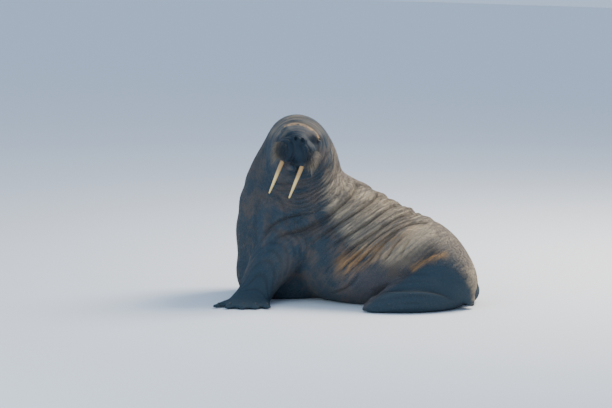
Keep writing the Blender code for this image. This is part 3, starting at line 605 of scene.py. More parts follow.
# Folds of the trunk: depth, half width, the share of its line by which the fold is deep, and
# the line in the plane square to the view, from the back down and forward.
FOLDS = (
    (0.013, 0.018, 0.30, ((-0.25, 0.72), (-0.34, 0.70), (-0.46, 0.675), (-0.55, 0.64),
                          (-0.61, 0.60), (-0.645, 0.55), (-0.655, 0.48))),
    (0.024, 0.024, 0.01, ((0.03, 0.99), (0.005, 0.88), (-0.05, 0.81), (-0.15, 0.72),
                          (-0.26, 0.64), (-0.38, 0.585), (-0.49, 0.565), (-0.58, 0.515),
                          (-0.61, 0.45))),
    (0.022, 0.022, 0.01, ((0.21, 0.92), (0.155, 0.83), (0.09, 0.775), (-0.02, 0.70),
                          (-0.14, 0.62), (-0.24, 0.54), (-0.33, 0.47))),
    (0.021, 0.021, 0.01, ((0.42, 0.84), (0.35, 0.786), (0.28, 0.768), (0.19, 0.72), (0.07, 0.63),
                          (-0.05, 0.555), (-0.17, 0.47), (-0.27, 0.38))),
    (0.024, 0.021, 0.01, ((0.50, 0.76), (0.43, 0.725), (0.36, 0.71), (0.25, 0.655), (0.14, 0.58),
                          (0.00, 0.48), (-0.14, 0.36), (-0.27, 0.23))),
    (0.014, 0.014, 0.15, ((0.46, 0.675), (0.36, 0.66), (0.25, 0.607), (0.14, 0.535),
                          (0.03, 0.435), (-0.09, 0.32), (-0.20, 0.21))),
    (0.014, 0.014, 0.10, ((0.56, 0.64), (0.43, 0.64), (0.32, 0.607), (0.20, 0.53), (0.09, 0.43),
                          (-0.01, 0.33), (-0.11, 0.21))),
    (0.013, 0.014, 0.20, ((0.32, 0.60), (0.22, 0.52), (0.13, 0.42), (0.04, 0.29))),
    (0.010, 0.014, 0.30, ((0.37, 0.57), (0.29, 0.50), (0.235, 0.42), (0.19, 0.35))),
    (0.007, 0.012, 0.30, ((0.40, 0.54), (0.34, 0.46), (0.31, 0.38))),
    (0.008, 0.014, 0.30, ((0.06, 0.33), (-0.02, 0.22), (-0.10, 0.16), (-0.20, 0.13))),
    (0.008, 0.012, 0.25, ((0.28, 0.83), (0.20, 0.77), (0.12, 0.705), (0.03, 0.64))),
    (0.012, 0.014, 0.10, ((0.12, 0.10), (0.17, 0.15), (0.25, 0.168), (0.36, 0.17), (0.46, 0.168),
                          (0.57, 0.15), (0.66, 0.11), (0.74, 0.05))),
    (0.012, 0.020, 0.20, ((0.30, 0.22), (0.37, 0.295), (0.44, 0.35), (0.50, 0.395),
                          (0.56, 0.425), (0.64, 0.42))),
)
MINOR_BETWEEN = ((1, 2, 3), (2, 3, 3), (3, 4, 2), (4, 5, 1), (6, 7, 1), (7, 8, 1), (0, 1, 1))

# Creases of the neck and face, on the side that the head is turned to.
NECK_FOLDS = (
    (0.007, 0.011, ((-0.079, 1.03), (-0.079, 0.971), (-0.104, 0.925), (-0.139, 0.889),
                    (-0.21, 0.829), (-0.30, 0.78))),
    (0.009, 0.012, ((-0.04, 0.99), (-0.05, 0.921), (-0.086, 0.871), (-0.129, 0.829),
                    (-0.221, 0.757), (-0.33, 0.72))),
    (0.008, 0.011, ((0.00, 0.96), (-0.014, 0.893), (-0.05, 0.85), (-0.093, 0.807),
                    (-0.17, 0.74))),
    (0.007, 0.010, ((-0.12, 1.08), (-0.117, 1.007), (-0.13, 0.971), (-0.157, 0.936),
                    (-0.236, 0.886), (-0.34, 0.85))),
    (0.008, 0.010, ((-0.19, 1.25), (-0.166, 1.186), (-0.179, 1.139), (-0.201, 1.114),
                    (-0.257, 1.043), (-0.33, 0.99))),
    (0.006, 0.009, ((-0.145, 1.16), (-0.146, 1.10), (-0.164, 1.057), (-0.20, 1.021),
                    (-0.28, 0.97))),
    (0.007, 0.008, ((-0.536, 1.293), (-0.507, 1.329), (-0.464, 1.354), (-0.414, 1.357),
                    (-0.364, 1.346), (-0.321, 1.325), (-0.279, 1.293), (-0.243, 1.243),
                    (-0.229, 1.193), (-0.243, 1.143), (-0.264, 1.10), (-0.31, 1.04))),
    (0.004, 0.007, ((-0.50, 1.375), (-0.421, 1.389), (-0.329, 1.371), (-0.264, 1.329),
                    (-0.215, 1.26))),
    (0.006, 0.009, ((-0.536, 1.26), (-0.571, 1.186), (-0.593, 1.114), (-0.586, 1.043))),
    (0.006, 0.009, ((-0.275, 1.24), (-0.262, 1.157), (-0.286, 1.086), (-0.335, 1.02))),
    (0.008, 0.011, ((-0.60, 0.94), (-0.55, 0.918), (-0.49, 0.912), (-0.43, 0.93))),
    (0.004, 0.008, ((-0.62, 0.90), (-0.55, 0.87), (-0.47, 0.865), (-0.38, 0.89))),
)


def fold_profile(distance, side, depth, width):
    """A fold across: the roll on the neck's side stands out and drops steeply into the cleft,
    and the other side rises slowly: depth exp(-(d/r)^1.5), with r 0.55 half widths on the
    neck's side and 1.7 on the other."""
    reach = np.where(side < 0, 0.55, 1.7) * width
    dip = depth * np.exp(-(distance / reach) ** 1.5)
    roll = 0.42 * depth * np.exp(-((distance - 1.5 * width) / width) ** 2) * (side < 0)
    return dip - roll


def trunk_lines():
    """The main folds, and shallower ones drawn between neighbours with a little waver."""
    draw = np.random.default_rng(3)
    lines = list(FOLDS)
    knots = np.linspace(0, 1, 6)
    for one, other, count in MINOR_BETWEEN:
        ends = [smooth_curve(np.linspace(0, 1, len(FOLDS[n][3])), np.array(FOLDS[n][3]), knots)
                for n in (one, other)]
        for share in (np.arange(count) + 1) / (count + 1):
            between = ends[0] * (1 - share) + ends[1] * share
            between = between + draw.uniform(-0.008, 0.008, (6, 2))
            lines.append((draw.uniform(0.004, 0.009), 0.010, draw.uniform(0.05, 0.4), between))
    return lines


TRUNK_LINES = trunk_lines()


def main_folds(points):
    """Depth of the folds of the trunk, and how nearly each point lies in a cleft, where shade is
    painted.
    """
    places = seen(points)
    total = np.zeros(len(points))
    cleft_shade = np.zeros(len(points))
    for depth, width, rise, line in TRUNK_LINES:
        distance, share, side = beside(places, line)
        ends = step(share, 0, rise) * step(1 - share, 0.0, 0.3)
        total += ends * fold_profile(distance, side, depth, width)
        near = np.exp(-distance / (0.5 * width)) * min(1.0, depth / 0.016)
        cleft_shade = np.maximum(cleft_shade, ends * near)
    trunk = step(points[:, 0], -0.95, -0.80) * (1 - step(points[:, 2], 1.02, 1.12))
    far = np.where(points[:, 1] > MIDDLE, FAR_FOLDS, 1) * trunk
    return total * far, np.clip(cleft_shade, 0, 1) * far


def neck_folds(points, normals):
    """Creases of the neck and face, which fade where the hide turns from the near side, and how nearly
    each point lies in one, where shade is painted.
    """
    places = np.stack((points @ RIGHT, points @ UPWARD + NEAR_EDGE), axis=1)
    toward = step(normals @ BACKWARD, -0.05, 0.40)
    total = np.zeros(len(points))
    cleft_shade = np.zeros(len(points))
    for depth, width, line in NECK_FOLDS:
        distance, share, side = beside(places, line)
        ends = step(share, 0, 0.12) * step(1 - share, 0, 0.3) * toward
        total += ends * fold_profile(distance, np.ones(len(places)), depth, 0.75 * width)
        cleft_shade = np.maximum(cleft_shade, ends * np.exp(-distance / (0.6 * width)) * 0.8)
    return total, cleft_shade


RING_SPACING = 0.027
RING_DEPTH = 0.0035


def neck_wrinkles(points):
    """Rings about the muzzle on the neck, closest together on the side it is turned to."""
    local = to_head(points)
    reach = np.linalg.norm(local - MUZZLE_AT, axis=1)
    waver = 0.012 * np.sin(11 * local[:, 1] + 3) + 0.010 * np.sin(17 * local[:, 2] + 7 * local[:, 1])
    wave = 0.5 + 0.5 * np.cos(2 * pi * (reach + waver) / RING_SPACING)
    where = step(reach, 0.20, 0.26) * (1 - step(reach, 0.40, 0.54))
    left = 0.35 + 0.65 * step(local[:, 1], -0.02, 0.10)
    ring = wave ** 3 * where * left
    return RING_DEPTH * ring, ring


TOE_SPACING = 0.047
TOE_DEPTH = 0.0026
WRIST_SPACING = 0.031
WRIST_DEPTH = 0.0035


def limb_wrinkles(points):
    """How far the hide is pressed in between the toes of the folded hind feet and across the
    wrists, in shallow waves."""
    total = np.zeros(len(points))
    for number in (-1, 1):
        near = ((points - (0.55, LIMB_AXIS + 0.36 * number, 0.12)) ** 2).sum(axis=1) < 0.36
        foot = np.zeros(len(points))
        foot[near] = 1 - step(hind_field(points[near], number), 0.0, 0.02)
        height = points[:, 2] + 0.03 * np.sin(7 * points[:, 0])
        toes = (0.5 + 0.5 * np.cos(2 * pi * height / TOE_SPACING)) ** 5
        total += TOE_DEPTH * foot * toes * (1 - step(points[:, 0], 0.66, 0.76))
        out = number * (points[:, 1] - LIMB_AXIS)
        wrist = step(out, 0.33, 0.42) * (1 - step(out, 0.56, 0.62)) * (points[:, 0] < 0)
        along = out + 0.02 * np.sin(9 * points[:, 0])
        bands = (0.5 + 0.5 * np.cos(2 * pi * along / WRIST_SPACING)) ** 4
        total += WRIST_DEPTH * wrist * bands
    return total


def detail(points, normals):
    """How far the hide is pressed in at each point, and how much of a crease it lies in, which sets the
    painted shade of the creases.
    """
    depth, crease_shade = main_folds(points)
    neck_depth, neck_crease_shade = neck_folds(points, normals)
    ring_depth, ring = neck_wrinkles(points)
    limb_depth = limb_wrinkles(points)
    # Painted shade: the clefts of folds, neck rings and wrinkles are darkened.
    crease_shade = np.maximum(np.maximum(crease_shade, neck_crease_shade), 0.45 * ring)
    return depth + neck_depth + ring_depth + limb_depth, np.maximum(crease_shade, limb_depth / 0.008)


GAZE = (0.55, 0.80, 0.10)
LID_OPENING = (0.0150, 0.0088)
LID_SEAT = 0.0150
LID_LIP = 0.0012
LID_REACH = 0.06
LID_FOLDS = ((1.55, 0.0016), (2.1, 0.0022), (2.8, 0.0020))


def eye_frame(side):
    """The middle of an eyeball, and the way it looks, level and over, in the head's frame."""
    out = unit(np.array(GAZE) * (1, side, 1))
    level = unit(np.cross((0, 0, 1), out))
    return EYE_AT * (1, side, 1), np.stack((level, np.cross(out, level), out), axis=1)


def open_lids(points):
    """Presses the hide in behind each eyeball inside an almond-shaped opening, and lays small
    folds round it: e = ((a/w)^2 + (b/h)^2)^0.5 is 1 on the rim of the lids."""
    local = to_head(points)
    for side in (-1, 1):
        middle, axes = eye_frame(side)
        off = (local - middle) @ axes
        rim = np.sqrt((off[:, 0] / LID_OPENING[0]) ** 2 + (off[:, 1] / LID_OPENING[1]) ** 2)
        near = (off[:, 2] > 0) & (np.linalg.norm(off, axis=1) < LID_REACH)
        reach = np.linalg.norm(off, axis=1)
        pull = (1 - step(rim, 0.82, 1.05)) * near
        lip = np.exp(-((rim - 1.25) / 0.22) ** 2) * near
        target = reach * (1 - pull) + LID_SEAT * pull + LID_LIP * lip
        for ring, depth in LID_FOLDS:
            target -= depth * np.exp(-((rim - ring) / 0.16) ** 2) * near
        local = local + ((target / (reach + 1e-9) - 1)[:, None] * off) @ axes.T
    return HEAD_AT + local @ HEAD.T


def refine(shape, chosen):
    """Splits each chosen face in four."""
    edges = list({edge for face in chosen for edge in face.edges})
    bmesh.ops.subdivide_edges(shape, edges=edges, cuts=1, use_grid_fill=True)


def face_middles(shape):
    """The middle of every face."""
    return np.array([face.calc_center_median() for face in shape.faces])


verts, faces = surface(flesh, *SKIN_BOX, SKIN_CELL)
skin = new_mesh("skin", verts, faces)
shape = bmesh.new()
shape.from_mesh(skin.data)
eye_spots = [HEAD_AT + HEAD @ (EYE_AT * (1, side, 1)) for side in (-1, 1)]
for level in range(4):
    middles = face_middles(shape)
    local = to_head(middles)
    eyes = np.min([np.linalg.norm(middles - spot, axis=1) for spot in eye_spots], axis=0)
    if level == 0:
        reach = np.linalg.norm(local - MUZZLE_AT, axis=1)
        chosen = (reach < 0.44) | (main_folds(middles)[1] > 0.15)
        chosen |= (middles[:, 0] < 0) & (np.abs(middles[:, 1] - LIMB_AXIS) > 0.52)
    elif level == 1:
        chosen = (local[:, 0] > -0.08) & (local[:, 2] > -0.30) & (np.abs(local[:, 1]) < 0.20)
        chosen |= (main_folds(middles)[1] > 0.50) & (middles[:, 1] < MIDDLE)
    elif level == 2:
        chosen = (local[:, 0] > 0.10) & (local[:, 2] > -0.27) & (np.abs(local[:, 1]) < 0.06)
        chosen |= eyes < 0.055
    else:
        chosen = eyes < 0.034
    shape.faces.ensure_lookup_table()
    refine(shape, [shape.faces[i] for i in np.flatnonzero(chosen)])
bmesh.ops.triangulate(shape, faces=shape.faces)
shape.to_mesh(skin.data)
shape.free()


def coordinates(piece):
    """A piece's points as an array."""
    flat = np.empty(len(piece.data.vertices) * 3, np.float32)
    piece.data.vertices.foreach_get("co", flat)
    return flat.reshape(-1, 3).astype(float)


points = settle(coordinates(skin), 2)
normals = unit(slope(flesh, points)[1])
depth, crease_shade = detail(points, normals)
points = open_lids(points - normals * depth[:, None])
points[:, 2] = np.maximum(points[:, 2], 0.0)
skin.data.vertices.foreach_set("co", (points + TO_MIDDLE).astype(np.float32).ravel())
skin.data.polygons.foreach_set("use_smooth", np.full(len(skin.data.polygons), True))
skin.data.update()


def mark(piece, name, values):
    """Stores a number, or a vector, for each point of a piece."""
    kind = "FLOAT_VECTOR" if values.ndim == 2 else "FLOAT"
    store = piece.data.attributes.new(name, kind, "POINT")
    store.data.foreach_set("vector" if values.ndim == 2 else "value",
                           values.astype(np.float32).ravel())


# The lower edge of the tan of the back, which is painted lighter and warmer above it as sunlight on top
# of its real tan, and the lines of its rust-coloured marks.
SUNLIT_TAN_EDGE = ((-0.25, 1.70), (-0.23, 1.25), (-0.24, 1.00), (-0.23, 0.76), (-0.13, 0.56),
            (0.03, 0.41), (0.20, 0.33), (0.35, 0.33), (0.50, 0.41), (0.64, 0.37), (0.74, 0.28),
            (0.82, 0.04))
RUST_LINE = ((0.36, 0.57), (0.16, 0.47), (-0.06, 0.35))
# The line of the hollow above the hip, painted darker as shade.
SHADED_HOLLOW_LINE = ((0.26, 0.30), (0.36, 0.39), (0.52, 0.45))
FOOT_EDGE = ((0.057, 0.05), (0.157, 0.136), (0.293, 0.221), (0.436, 0.321), (0.514, 0.357),
             (0.607, 0.35), (0.693, 0.314), (0.771, 0.236), (0.814, 0.143), (0.822, 0.0))
HIP_LINE = ((0.40, 0.32), (0.50, 0.39), (0.62, 0.42))
# The line of the painted highlight along the brow ridge.
BROW_HIGHLIGHT_LINE = ((-0.50, 1.318), (-0.464, 1.335), (-0.414, 1.338), (-0.364, 1.326),
             (-0.321, 1.305), (-0.285, 1.275), (-0.255, 1.232))


def marks(points, crease_shade):
    """The markings of the hide at each point, each from 0 to 1; among them are painted sunlight on the
    back, painted shade in the hollow and the creases, and a painted highlight on the brow.
    """
    local = to_head(points)
    places = seen(points)
    # Tan hide above this edge, painted lighter and warmer as sunlight on the back.
    distance, _, above = beside(places, SUNLIT_TAN_EDGE)
    height = distance * above
    tan_and_sunlight = step(height, -0.09, 0.15)
    rust_gap, rust_share, _ = beside(places, RUST_LINE)
    rust = np.exp(-(rust_gap / 0.075) ** 2) * (0.45 + 0.55 * rust_share)
    hip = np.exp(-(beside(places, HIP_LINE)[0] / 0.022) ** 2)
    # Painted shade in the hollow above the hip crease.
    hollow_shade = np.exp(-(beside(places, SHADED_HOLLOW_LINE)[0] / 0.06) ** 2)
    belly = (1 - step(height, -0.12, 0.0)) * step(places[:, 0], -0.15, 0.10)
    oval = np.sqrt(((places[:, 0] + 0.405) / 0.150) ** 2 + ((places[:, 1] - 1.165) / 0.130) ** 2)
    muzzle = (1 - step(oval, 0.72, 1.12)) * step(local[:, 0], -0.02, 0.03)
    crown = step(places[:, 1], 1.17, 1.30)
    # The tan with its painted sunlight is weaker up the neck and in the shaded hollow, and lies thinly
    # on the crown.
    tan_and_sunlight = tan_and_sunlight * (1 - 0.45 * step(places[:, 1], 0.90, 1.10)) * (1 - 0.20 * hollow_shade)
    tan_and_sunlight = np.maximum(tan_and_sunlight, 0.33 * crown)
    # Painted highlight: a streak along the brow ridge.
    brow_highlight = np.exp(-(beside(places, BROW_HIGHLIGHT_LINE)[0] / 0.0075) ** 2) * step(local[:, 0], -0.10, 0.0)
    limb = np.zeros(len(points))
    for number in (-1, 1):
        out = number * (points[:, 1] - LIMB_AXIS)
        limb = np.maximum(limb, step(out, 0.40, 0.56) * (points[:, 0] < 0.1))
    foot_gap, _, foot_side = beside(places, FOOT_EDGE)
    foot = step(-foot_gap * foot_side, -0.008, 0.022) * step(places[:, 0], 0.03, 0.06)
    limb = np.maximum(limb, foot)
    return {"tan_and_sunlight": tan_and_sunlight, "rust": np.maximum(rust, hip), "belly": belly, "hollow_shade": hollow_shade,
            "muzzle": muzzle, "brow_highlight": brow_highlight, "limb": limb, "crease_shade": crease_shade}


skin_marks = marks(points, crease_shade)
for name, values in skin_marks.items():
    mark(skin, name, values)
around_muzzle = np.linalg.norm(to_head(points) - MUZZLE_AT, axis=1)
on_head = 1 - step(around_muzzle, 0.35, 0.60)
across = (points[:, 0] - 0.95 * points[:, 2]) * (1 - on_head) - around_muzzle * on_head
lie = np.stack((across, points[:, 1], points[:, 0] * 0.6 + points[:, 2]), axis=1)
mark(skin, "lie", lie)


# Colours of the hide, in the order that they are laid on; some of them are painted light and shade.
SLATE = (0.022, 0.042, 0.060)
SLATE_BROWN = (0.080, 0.068, 0.064)
BELLY_GREY = (0.062, 0.058, 0.068)
# Tan of the back, dark to pale, painted lighter and warmer as sunlight.
SUNLIT_TAN_DARK = (0.20, 0.165, 0.13)
SUNLIT_TAN_PALE = (0.44, 0.35, 0.235)
# Painted shade in the hollow above the hip.
HOLLOW_SHADE_BROWN = (0.085, 0.062, 0.045)
RUST = (0.42, 0.22, 0.080)
LIMB_TEAL = (0.016, 0.036, 0.052)
MUZZLE_BLACK = (0.003, 0.015, 0.028)
# Painted highlight on the brow ridge.
BROW_HIGHLIGHT_GOLD = (0.44, 0.27, 0.12)
GRIT_BROWN = (0.04, 0.036, 0.034)
# Painted shade in the clefts of folds and wrinkles.
CREASE_SHADE_BLACK = (0.014, 0.013, 0.014)
HAIR_TIP = (0.34, 0.28, 0.20)
FINE_GRAIN = (170, 24, 24)
STREAK_GRAIN = (60, 7, 7)
GRIT_SCALE = 240


def hide_colour(finish, paler=0.0):
    """Colour of the hide from its markings and noise, turned paler by a share for hair; it lays on
    painted sunlight, shade and a highlight as well.
    """
    at = finish.place()
    lie = finish.attribute("lie", 1)
    cloud = finish.noise(at, 3.2, 4)
    streak = finish.noise(finish.stretch(lie, STREAK_GRAIN), 1.0, 3)
    grit = finish.noise(at, GRIT_SCALE, 3)
    blotch = finish.ramp(finish.noise(at, 7.0, 5, 0.6) * 0.7 + streak * 0.3, 0.42, 0.62)
    colour = finish.mix(blotch, SLATE, SLATE_BROWN)
    colour = finish.mix(finish.attribute("belly") * 0.8, colour, BELLY_GREY)
    # The tan of the back, with painted sunlight, over the darker hide.
    sunlit_beige = finish.mix(finish.ramp(streak + cloud - 0.5, 0.35, 0.68), SUNLIT_TAN_DARK, SUNLIT_TAN_PALE)
    tan_and_sunlight = finish.ramp(finish.attribute("tan_and_sunlight") + (cloud - 0.5) * 0.35 + (streak - 0.5) * 0.5,
                      0.15, 0.95)
    colour = finish.mix(tan_and_sunlight, colour, sunlit_beige)
    # Painted shade: darker brown in the hollow above the hip.
    colour = finish.mix(finish.attribute("hollow_shade") * 0.55, colour, HOLLOW_SHADE_BROWN)
    rust = finish.attribute("rust") * finish.ramp(streak, 0.36, 0.60)
    colour = finish.mix(rust * 0.85, colour, RUST)
    colour = finish.mix(finish.attribute("limb") * 0.92, colour, LIMB_TEAL)
    colour = finish.mix(finish.attribute("muzzle") * 0.95, colour, MUZZLE_BLACK)
    # Painted highlight: gold streaks along the brow ridge.
    brow_highlight = finish.attribute("brow_highlight") * finish.ramp(finish.noise(at, 26, 4), 0.36, 0.58)
    colour = finish.mix(brow_highlight * 0.85, colour, BROW_HIGHLIGHT_GOLD)
    colour = finish.mix(finish.ramp(grit, 0.40, 0.80) * 0.25, colour, GRIT_BROWN)
    # Painted shade: darker in the clefts of folds and wrinkles.
    colour = finish.mix(finish.attribute("crease_shade") * 0.85, colour, CREASE_SHADE_BLACK)
    if paler:
        colour = finish.mix(paler, colour, HAIR_TIP)
    return colour


hide = Finish("hide", IOR=1.40, Specular_IOR_Level=0.32)
fine = hide.noise(hide.stretch(hide.attribute("lie", 1), FINE_GRAIN), 1.0, 4, 0.6)
pebbles = hide.noise(hide.place(), 110, 4)
grit = hide.noise(hide.place(), GRIT_SCALE, 3)
relief = hide.bump(fine, 0.008, 0.65)
relief = hide.bump(pebbles, 0.004, 0.45, relief)
relief = hide.bump(grit, 0.0012, 0.35, relief)
rough = 0.62 + 0.2 * fine - 0.10 * hide.attribute("muzzle")
hide.set(Base_Color=hide_colour(hide), Roughness=rough, Normal=relief)
skin.data.materials.append(hide.material)
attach(skin, "root")
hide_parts("head", "muzzle", "lower_jaw", "neck", "breast", "belly", "haunches", "tail",
            "fore_flipper_left", "fore_flipper_right", "hind_flipper_left", "hind_flipper_right")


# The eyes.
# Small wet balls set deep between thick lids: a dark brown iris with hardly any white round
# it.  Each is a ball whose poles lie along the way that it looks.
EYE_RINGS = 28
EYE_SIDES = 36
PUPIL_EDGE = (0.22, 0.26)
IRIS_EDGE = (0.62, 0.78)
IRIS_BROWN = (0.050, 0.022, 0.010)
IRIS_DARK = (0.022, 0.010, 0.006)
PUPIL_BLACK = (0.002, 0.002, 0.002)
EYE_RIM = (0.22, 0.13, 0.11)


def carried(rings, sides):
    """Faces of a tube of rings of points, closed by a point before and a point after them."""
    ring, spoke = np.meshgrid(np.arange(rings - 1), np.arange(sides), indexing="ij")
    ring, spoke = ring.ravel(), spoke.ravel()
    after = (spoke + 1) % sides
    a, b = ring * sides + spoke, ring * sides + after
    c, d = (ring + 1) * sides + after, (ring + 1) * sides + spoke
    spoke = np.arange(sides)
    after = (spoke + 1) % sides
    first, end = rings * sides, (rings - 1) * sides
    return np.concatenate((np.stack((a, b, c), axis=1), np.stack((a, c, d), axis=1),
                           np.stack((np.full(sides, first), after, spoke), axis=1),
                           np.stack((np.full(sides, first + 1), end + spoke, end + after), axis=1)))


for side, word in ((-1, "right"), (1, "left")):
    middle, axes = eye_frame(side)
    polar = np.linspace(0, pi, EYE_RINGS)[1:-1, None]
    turn = np.linspace(0, 2 * pi, EYE_SIDES, endpoint=False)[None]
    ball = np.stack((np.sin(polar) * np.cos(turn), np.sin(polar) * np.sin(turn),
                     np.cos(polar) + 0 * turn), axis=2).reshape(-1, 3)
    ball = np.concatenate((ball, ((0, 0, 1), (0, 0, -1)))) * EYE_RADIUS
    eye = new_mesh("eyeball_" + word, HEAD_AT + (middle + ball @ axes.T) @ HEAD.T + TO_MIDDLE,
                   carried(EYE_RINGS - 2, EYE_SIDES)[:, ::-1])
    mark(eye, "aside", np.arccos(np.clip(ball[:, 2] / EYE_RADIUS, -1, 1)))
    wet = Finish("wet_eye_" + word, Roughness=0.05, Coat_Weight=1.0, Coat_Roughness=0.02)
    aside = wet.attribute("aside")
    iris = wet.mix(wet.noise(wet.place(), 900, 2), IRIS_BROWN, IRIS_DARK)
    iris = wet.mix(wet.ramp(aside, *PUPIL_EDGE), PUPIL_BLACK, iris)
    wet.set(Base_Color=wet.mix(wet.ramp(aside, *IRIS_EDGE), iris, EYE_RIM))
    eye.data.materials.append(wet.material)
    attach(eye, "root")
    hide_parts("eye_" + word)


# The tusks.
# Ivory, oval in section, worn smooth and blunt, with long fine cracks and a brown stain at
# the root.  Each is an oval carried down a slightly bent line and rounded off at the tip:
# forward it lies at 2 b t (1 - t) + s t, and its size falls as 1 - (1 - tip) t^1.6.
TUSK_ROOT = (0.085, 0.072, -0.165)
TUSK_LENGTH = 0.292
TUSK_HALF_WIDTH = 0.0165
TUSK_HALF_DEPTH = 0.0195
TUSK_TIP = 0.34
TUSK_BEND = 0.035
TUSK_LEAN = 0.042
TUSK_SWING = 0.02
BLUNT_FROM = 0.955
BLUNT_LENGTH = 0.0455
TUSK_RINGS = 60
TUSK_SIDES = 28
IVORY_DARK = (0.78, 0.50, 0.15)
IVORY_PALE = (0.90, 0.68, 0.30)
STAIN_BROWN = (0.42, 0.21, 0.075)
CRACK_BROWN = (0.28, 0.14, 0.05)

for side, word in ((-1, "right"), (1, "left")):
    t = np.linspace(0, 1, TUSK_RINGS)[:, None]
    turn = np.linspace(0, 2 * pi, TUSK_SIDES, endpoint=False)[None]
    size = 1 - (1 - TUSK_TIP) * t ** 1.6
    past = np.clip(t - BLUNT_FROM, 0, None) / BLUNT_LENGTH
    blunt = np.sqrt(np.clip(1 - past ** 2, 0.0004, 1))
    flute = 1 + 0.018 * np.cos(3 * turn + 4 * t) + 0.010 * np.cos(7 * turn - 2 * t)
    size = size * blunt * flute
    forth = TUSK_BEND * 2 * t * (1 - t) + TUSK_SWING * t
    tube = np.stack((forth + TUSK_HALF_DEPTH * size * np.cos(turn),
                     -TUSK_LEAN * t + TUSK_HALF_WIDTH * size * np.sin(turn),
                     -TUSK_LENGTH * t + 0 * turn), axis=2)
    ends = tube.mean(axis=1)[[0, -1]]
    shape_points = np.concatenate((tube.reshape(-1, 3), ends)) + np.array(TUSK_ROOT) * (1, side, 1)
    tusk = new_mesh("tusk_ivory_" + word, HEAD_AT + shape_points @ HEAD.T + TO_MIDDLE,
                    carried(TUSK_RINGS, TUSK_SIDES)[:, ::-1])
    along = np.concatenate((np.repeat(t.ravel(), TUSK_SIDES), (0, 1)))
    wrap = np.concatenate((np.tile(turn.ravel(), TUSK_RINGS), (0, 0)))
    mark(tusk, "along", along)
    mark(tusk, "grain", np.stack((np.cos(wrap), np.sin(wrap), along * 1.2), axis=1))
    ivory = Finish("ivory_" + word, Roughness=0.34, IOR=1.54)
    grain = ivory.attribute("grain", 1)
    run = ivory.attribute("along")
    lines = ivory.noise(ivory.stretch(grain, (7, 7, 1.2)), 1.0, 4, 0.6)
    crack = ivory.ramp(ivory.noise(ivory.stretch(grain, (13, 13, 1.5)), 1.0, 2), 0.60, 0.66)
    stain = 1 - ivory.ramp(run + (lines - 0.5) * 0.30, 0.34, 0.62)
    colour = ivory.mix(lines, IVORY_DARK, IVORY_PALE)
    colour = ivory.mix(stain * 0.75, colour, STAIN_BROWN)
    colour = ivory.mix(crack * 0.55, colour, CRACK_BROWN)
    ivory.set(Base_Color=colour, Normal=ivory.bump(lines - crack, 0.0012, 0.6))
    tusk.data.materials.append(ivory.material)
    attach(tusk, "root")
    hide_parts("tusk_" + word)


# The whiskers.
# Stiff quills in rows on the two pads of the muzzle, dark in front and pale at the sides,
# where they are longest.
# Each is a bent square bar that tapers to a point, rooted in the hide.
PAD_MIDDLE = (0.088, 0.064, -0.12)
WHISKER_ROWS = 15
WHISKERS_IN_ROW = 19
WHISKER_RADIUS = 0.00075
WHISKER_ROOT = 0.006
WHISKER_RINGS = 6
WHISKER_TAPER = 0.72
WHISKER_LENGTHS = (0.018, 0.026, 0.020)
WHISKER_DROP = -0.30
# Where the rows lie on a pad, in degrees out from straight ahead and up from level.
FIRST_TURN, TURN_RANGE = 6, 96
FIRST_TILT, TILT_RANGE = 26, -76
ANGLE_WAVER = 2.5
PAD_REACH = (0.03, 0.115)
QUILL_DARK = (0.016, 0.022, 0.028)
QUILL_PALE = (0.38, 0.29, 0.18)

draw = np.random.default_rng(11)
row, place = np.meshgrid(np.arange(WHISKER_ROWS), np.arange(WHISKERS_IN_ROW), indexing="ij")
place = (place.ravel() + 0.5 * (row.ravel() % 2)) / WHISKERS_IN_ROW
row = row.ravel() / (WHISKER_ROWS - 1)
roots, ways, lengths = [], [], []
for side in (-1, 1):
    turn = np.radians(FIRST_TURN + TURN_RANGE * place
                      + draw.uniform(-ANGLE_WAVER, ANGLE_WAVER, len(place)))
    tilt = np.radians(FIRST_TILT + TILT_RANGE * row
                      + draw.uniform(-ANGLE_WAVER, ANGLE_WAVER, len(place)))
    out = np.stack((np.cos(tilt) * np.cos(turn), side * np.cos(tilt) * np.sin(turn),
                    np.sin(tilt)), axis=1)
    middle = np.array(PAD_MIDDLE) * (1, side, 1)
    low, high = np.zeros(len(out)), np.full(len(out), 0.2)
    for _ in range(18):
        half = (low + high) / 2
        inside = flesh(HEAD_AT + (middle + half[:, None] * out) @ HEAD.T) < 0
        low, high = np.where(inside, half, low), np.where(inside, high, half)
    kept = (low > PAD_REACH[0]) & (low < PAD_REACH[1])
    roots.append((middle + low[:, None] * out)[kept])
    ways.append(unit(out * (1, 1.15, 1) + (0.10, 0, -0.62))[kept])
    long = WHISKER_LENGTHS[0] + WHISKER_LENGTHS[1] * place + WHISKER_LENGTHS[2] * row
    lengths.append((long * draw.uniform(0.8, 1.15, len(out)))[kept])
roots, ways, lengths = np.concatenate(roots), np.concatenate(ways), np.concatenate(lengths)
count = len(roots)
along = np.linspace(0, 1, WHISKER_RINGS)[None, :, None]
bend = draw.normal(0, 0.10, (count, 1, 3)) + (0.0, 0.0, WHISKER_DROP)
line = roots[:, None] + ways[:, None] * (along * (lengths[:, None, None] + WHISKER_ROOT)
                                         - WHISKER_ROOT)
line = line + bend * lengths[:, None, None] * along ** 2
level = unit(np.cross(ways, (0.0, 0.0, 1.0)))
over = np.cross(level, ways)
corners = np.stack((level, over, -level, -over), axis=1)[:, None]
thick = WHISKER_RADIUS * (1 - WHISKER_TAPER * along[..., None] ** 1.3)
rings = (line[:, :, None] + corners * thick).reshape(count, -1, 3)
ends = np.stack((line[:, 0], line[:, -1] + (line[:, -1] - line[:, -2]) * 0.35), axis=1)
each = np.concatenate((rings, ends), axis=1)
quill_faces = carried(WHISKER_RINGS, 4)
tris = (np.arange(count)[:, None, None] * each.shape[1] + quill_faces[None]).reshape(-1, 3)
